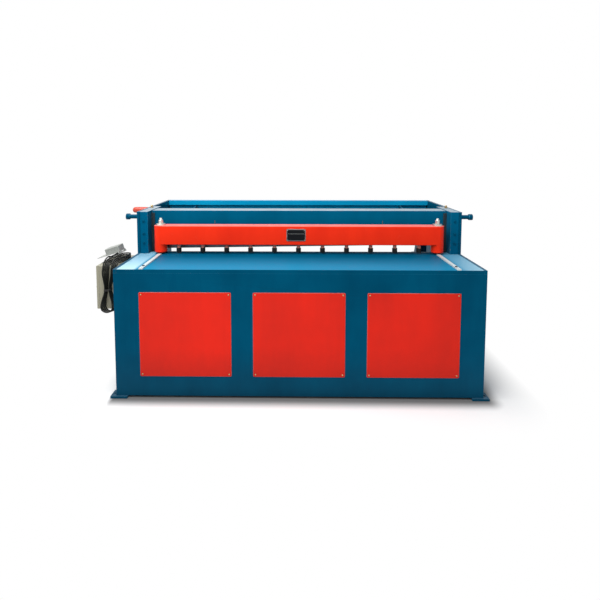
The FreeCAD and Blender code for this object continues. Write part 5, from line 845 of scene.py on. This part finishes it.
# Cable: a 9 mm rubber lead from the gland under the cabinet to the foot switch. Its spare length is
# folded into a hank of four and a half loops that hangs over the cabinet's front edge.
CABLE = 0.009
STEP = 0.0104
FIRST_LAYER = 0.00495
FOLD = 0.027
RUN = 0.0288
LOOP = 0.0352
TOP_BACK = -0.273
EDGE_Y = -0.507
EDGE_Z = 0.836
HANK_X = -1.232
HANK_BOTTOM = 0.541
HANK_SHIFT = -0.026
FAN = -0.006
EASE = 0.06
WAIST = 0.685
OVER_WAIST = 0.125
UNDER_WAIST = 0.106
gland_route = [(-1.333, -0.475, 0.527), (-1.333, -0.4965, 0.527), (-1.3276, -0.5154, 0.537),
               (-1.3184, -0.5262, 0.554), (-1.307, -0.5235, 0.579), (-1.2955, -0.5189, 0.606)]
switch_route = [(-1.2855, -0.5, 0.8935), (-1.2845, -0.466, 0.8925)]
gap = 0.0003
inner = FOLD - CABLE / 2
corner = (inner - gap) / sqrt(2)
edge = (EDGE_Y + corner, EDGE_Z - corner)
back = (TOP_BACK - edge[0], EDGE_Z + gap - edge[1])
reach = hypot(*back)
lean = atan2(back[1], back[0]) + acos(inner / reach)
top_run = sqrt(reach * reach - inner * inner)
bend = inner * (pi - lean)
foot = top_run + bend + edge[1] - HANK_BOTTOM


def hank(u, side, layer):
    """Point of the hank: u along it from the back fold, side across it, -1 and 1 on its two runs."""
    height = inner + FIRST_LAYER + STEP * layer
    down = top_run + bend
    ease = min(1.0, max(0.0, (u - top_run) / EASE + 1))
    if u < top_run:
        y = edge[0] + height * cos(lean) + (top_run - u) * sin(lean)
        z = edge[1] + height * sin(lean) - (top_run - u) * cos(lean)
    elif u < down:
        turn = lean + (u - top_run) / inner
        y, z = edge[0] + height * cos(turn), edge[1] + height * sin(turn)
    else:
        y, z = edge[0] - height, edge[1] - (u - down)
    # The tie draws both runs in, the outer one hangs askew, and the loops widen towards the bottom
    near = (z - WAIST) / (OVER_WAIST if z > WAIST else UNDER_WAIST)
    draw = cos(pi / 2 * near) ** 2 if abs(near) < 1 and u > down else 0.0
    fan = FAN * (layer - 2) * (1 - draw)
    flare = (1 - side) / 2 * (0.005 - 0.011 * (0.82 - z) / 0.27)
    x = HANK_X + (fan + flare + HANK_SHIFT) * ease * ease * (3 - 2 * ease)
    spread = RUN + (LOOP - RUN) * min(1.0, max(0.0, (0.75 - z) / 0.15)) if u > down else RUN
    return (x + side * spread - side * draw * (0.008 if side < 0 else 0.028), y, z)


def strand(side, low, climb, start, end, count=21):
    """Run of the hank from start to end, which climbs from its layer by the given number of layers."""
    steps = [start + (end - start) * i / (count - 1) for i in range(count)]
    return [hank(u, side, low + climb * (u - FOLD) / (foot - 2 * FOLD)) for u in steps]


def folded(turning, layer):
    """Half round at one end of the hank; the control points lie just outside the cable's line."""
    outside = cos(radians(15))
    ends = []
    for angle in range(15, 166, 30) if turning > 0 else range(-15, 196, 30):
        across = cos(radians(angle)) / outside
        along = sin(radians(angle)) / outside
        u = RUN - along * RUN if turning > 0 else foot - 0.031 + along * LOOP
        ends.append(hank(u, -turning * across, layer))
    return ends


points = list(gland_route)
start = top_run + bend + edge[1] - 0.657
bottom = foot - 0.073
for loop in range(4):
    points += strand(-1, loop, 0, bottom if loop else start, FOLD + 0.012)
    points += folded(1, loop)
    points += strand(1, loop, 1, FOLD + 0.012, bottom)
    points += folded(-1, loop + 1)
points += strand(-1, 4, 0, bottom, top_run + bend / 2, 12)
points += switch_route
entry = on_switch(0.08, 0.025, 0.0092)
points += [entry - Vector((0, 0.02, 0)), entry]
line = bpy.data.curves.new("cable", "CURVE")
line.dimensions = "3D"
spline = line.splines.new("NURBS")
spline.points.add(len(points) - 1)
for point, place in zip(spline.points, points):
    point.co = (*place, 1.0)
spline.order_u = 3
spline.use_endpoint_u = True
spline.resolution_u = 6
line.bevel_depth = CABLE / 2
line.bevel_resolution = 4
line.use_fill_caps = True
sheath = finish(
    "Rubber sheath", enamel, 0.00005, Colour=(0.009, 0.0105, 0.008), Deep=(0.006, 0.007, 0.0055),
    Worn=(0.045, 0.048, 0.042), Gloss=0.46, Peel=1400.0, Wear=0.3, Dust=0.08, Shine=0.2)
cable = put("cable", line, "root", [sheath], ["cable_hank", "cable_ends"])

# Tie: a strap of black rubber, wound twice round the hank's waist and hooked into itself. It draws
# the two runs of cable together, so that the hank hangs close to the cabinet.
TIE_ROUNDING = 0.004
TIE_CORNERS = ((-1.2545, -0.5175, 0), (-1.282, -0.5175, 90), (-1.282, -0.5625, 180), (-1.2545, -0.5625, 270))
shape = bmesh.new()
for z in (0.6795, 0.6865):
    outline = []
    for x, y, first in TIE_CORNERS:
        for angle in range(first, first + 91, 30):
            a, b = cos(radians(angle)), sin(radians(angle))
            outline.append((x + TIE_ROUNDING * a, y + TIE_ROUNDING * b, a, b))
    rings = []
    for out, height in ((0.0, 0.0), (0.0014, 0.0006), (0.0014, 0.0052), (0.0, 0.0058)):
        rings.append([shape.verts.new((x + a * out, y + b * out, z + height)) for x, y, a, b in outline])
    rings.append(rings[0])
    for low, high in zip(rings, rings[1:]):
        for index in range(len(outline)):
            after = (index + 1) % len(outline)
            shape.faces.new([low[index], low[after], high[after], high[index]])
put("hank_tie", shape, "root", [rubber])

# Floor, light and camera: a white studio floor that takes the machine's shadow, a softbox overhead on
# the left, and the photograph's own place for the camera.
plane = bpy.data.meshes.new("floor")
plane.from_pydata([(-14, -12, 0), (14, -12, 0), (14, 16, 0), (-14, 16, 0)], [], [(0, 1, 2, 3)])
floor = placed("floor", plane)
pale = bpy.data.materials.new("Studio floor")
pale.use_nodes = True
tree = pale.node_tree
tree.nodes.clear()
BODY_SIDE = 1.2
BODY_FRONT = 0.66
places = tree.nodes.new("ShaderNodeTexCoord").outputs
spot = add(tree, "ShaderNodeSeparateXYZ", {0: places["Object"]}).outputs
beside = maths(tree, "SUBTRACT", maths(tree, "ABSOLUTE", spot["X"]), BODY_SIDE)
before = maths(tree, "SUBTRACT", maths(tree, "ABSOLUTE", spot["Y"]), BODY_FRONT)
beside, before = [maths(tree, "MAXIMUM", way, 0.0) for way in (beside, before)]
# The painted shadow is narrower on the left, where the light comes from
left = maths(tree, "LESS_THAN", spot["X"], 0.0)
beside = times(tree, beside, maths(tree, "MULTIPLY_ADD", left, 1.6, 1.0))
away = plus(tree, times(tree, beside, beside), times(tree, before, before))
away = maths(tree, "SQRT", away)
# The floor's colour is painted darker close to the machine: a painted contact shadow under and around it
shadow_grey = add(tree, "ShaderNodeMapRange", {
    "Value": away, "From Min": 0.0, "From Max": 0.12, "To Min": 0.15, "To Max": 0.84},
    interpolation_type="SMOOTHSTEP").outputs[0]
painted_contact_shadow = combined(tree, shadow_grey, shadow_grey, shadow_grey)
matt = add(tree, "ShaderNodeBsdfDiffuse", {"Color": painted_contact_shadow})
seen = add(tree, "ShaderNodeLightPath").outputs["Is Camera Ray"]
clear = times(tree, ranged(tree, away, 0.1, 0.36), seen)
glow = add(tree, "ShaderNodeEmission", {"Color": (1, 1, 1, 1), "Strength": 1.0})
both = add(tree, "ShaderNodeMixShader", {0: clear, 1: matt.outputs[0], 2: glow.outputs[0]})
tree.links.new(both.outputs[0], add(tree, "ShaderNodeOutputMaterial").inputs["Surface"])
plane.materials.append(pale)

world = bpy.data.worlds.new("Studio")
bpy.context.scene.world = world
world.use_nodes = True
sky = world.node_tree
sky.nodes.clear()
rays = add(sky, "ShaderNodeLightPath")
seen = maths(sky, "MAXIMUM", rays.outputs["Is Camera Ray"],
             maths(sky, "MAXIMUM", rays.outputs["Is Glossy Ray"], rays.outputs["Is Transmission Ray"]))
dim = add(sky, "ShaderNodeBackground", {"Color": (0.97, 0.98, 1.0, 1), "Strength": 0.5})
white = add(sky, "ShaderNodeBackground", {"Color": (1, 1, 1, 1), "Strength": 1.0})
both = add(sky, "ShaderNodeMixShader", {0: seen, 1: dim.outputs[0], 2: white.outputs[0]})
sky.links.new(both.outputs[0], add(sky, "ShaderNodeOutputWorld").inputs["Surface"])


def lamp(name, place, aim, size, power):
    light = bpy.data.lights.new(name, "AREA")
    light.shape = "RECTANGLE"
    light.size, light.size_y = size
    light.energy = power
    holder = placed(name, light)
    holder.location = place
    holder.rotation_euler = (Vector(aim) - Vector(place)).to_track_quat("-Z", "Y").to_euler()


lamp("Overhead softbox", (-1.2, -1.3, 4.2), (0, -0.3, 0.6), (3.4, 2.2), 165)
lamp("Front softbox", (-1.0, -3.4, 3.4), (0, -0.4, 0.8), (3.2, 1.6), 65)

lens = bpy.data.cameras.new("Camera")
lens.sensor_width = 36
lens.lens = 26.883
lens.shift_x = 0.0199
lens.shift_y = -0.1888
lens.clip_start = 0.05
camera = placed("Camera", lens)
camera.location = (-0.0315, -3.4411, 1.5933)
camera.rotation_euler = (radians(90 - 4.359), 0, radians(0.797))
bpy.context.scene.camera = camera
bpy.context.scene.view_settings.view_transform = "Standard"
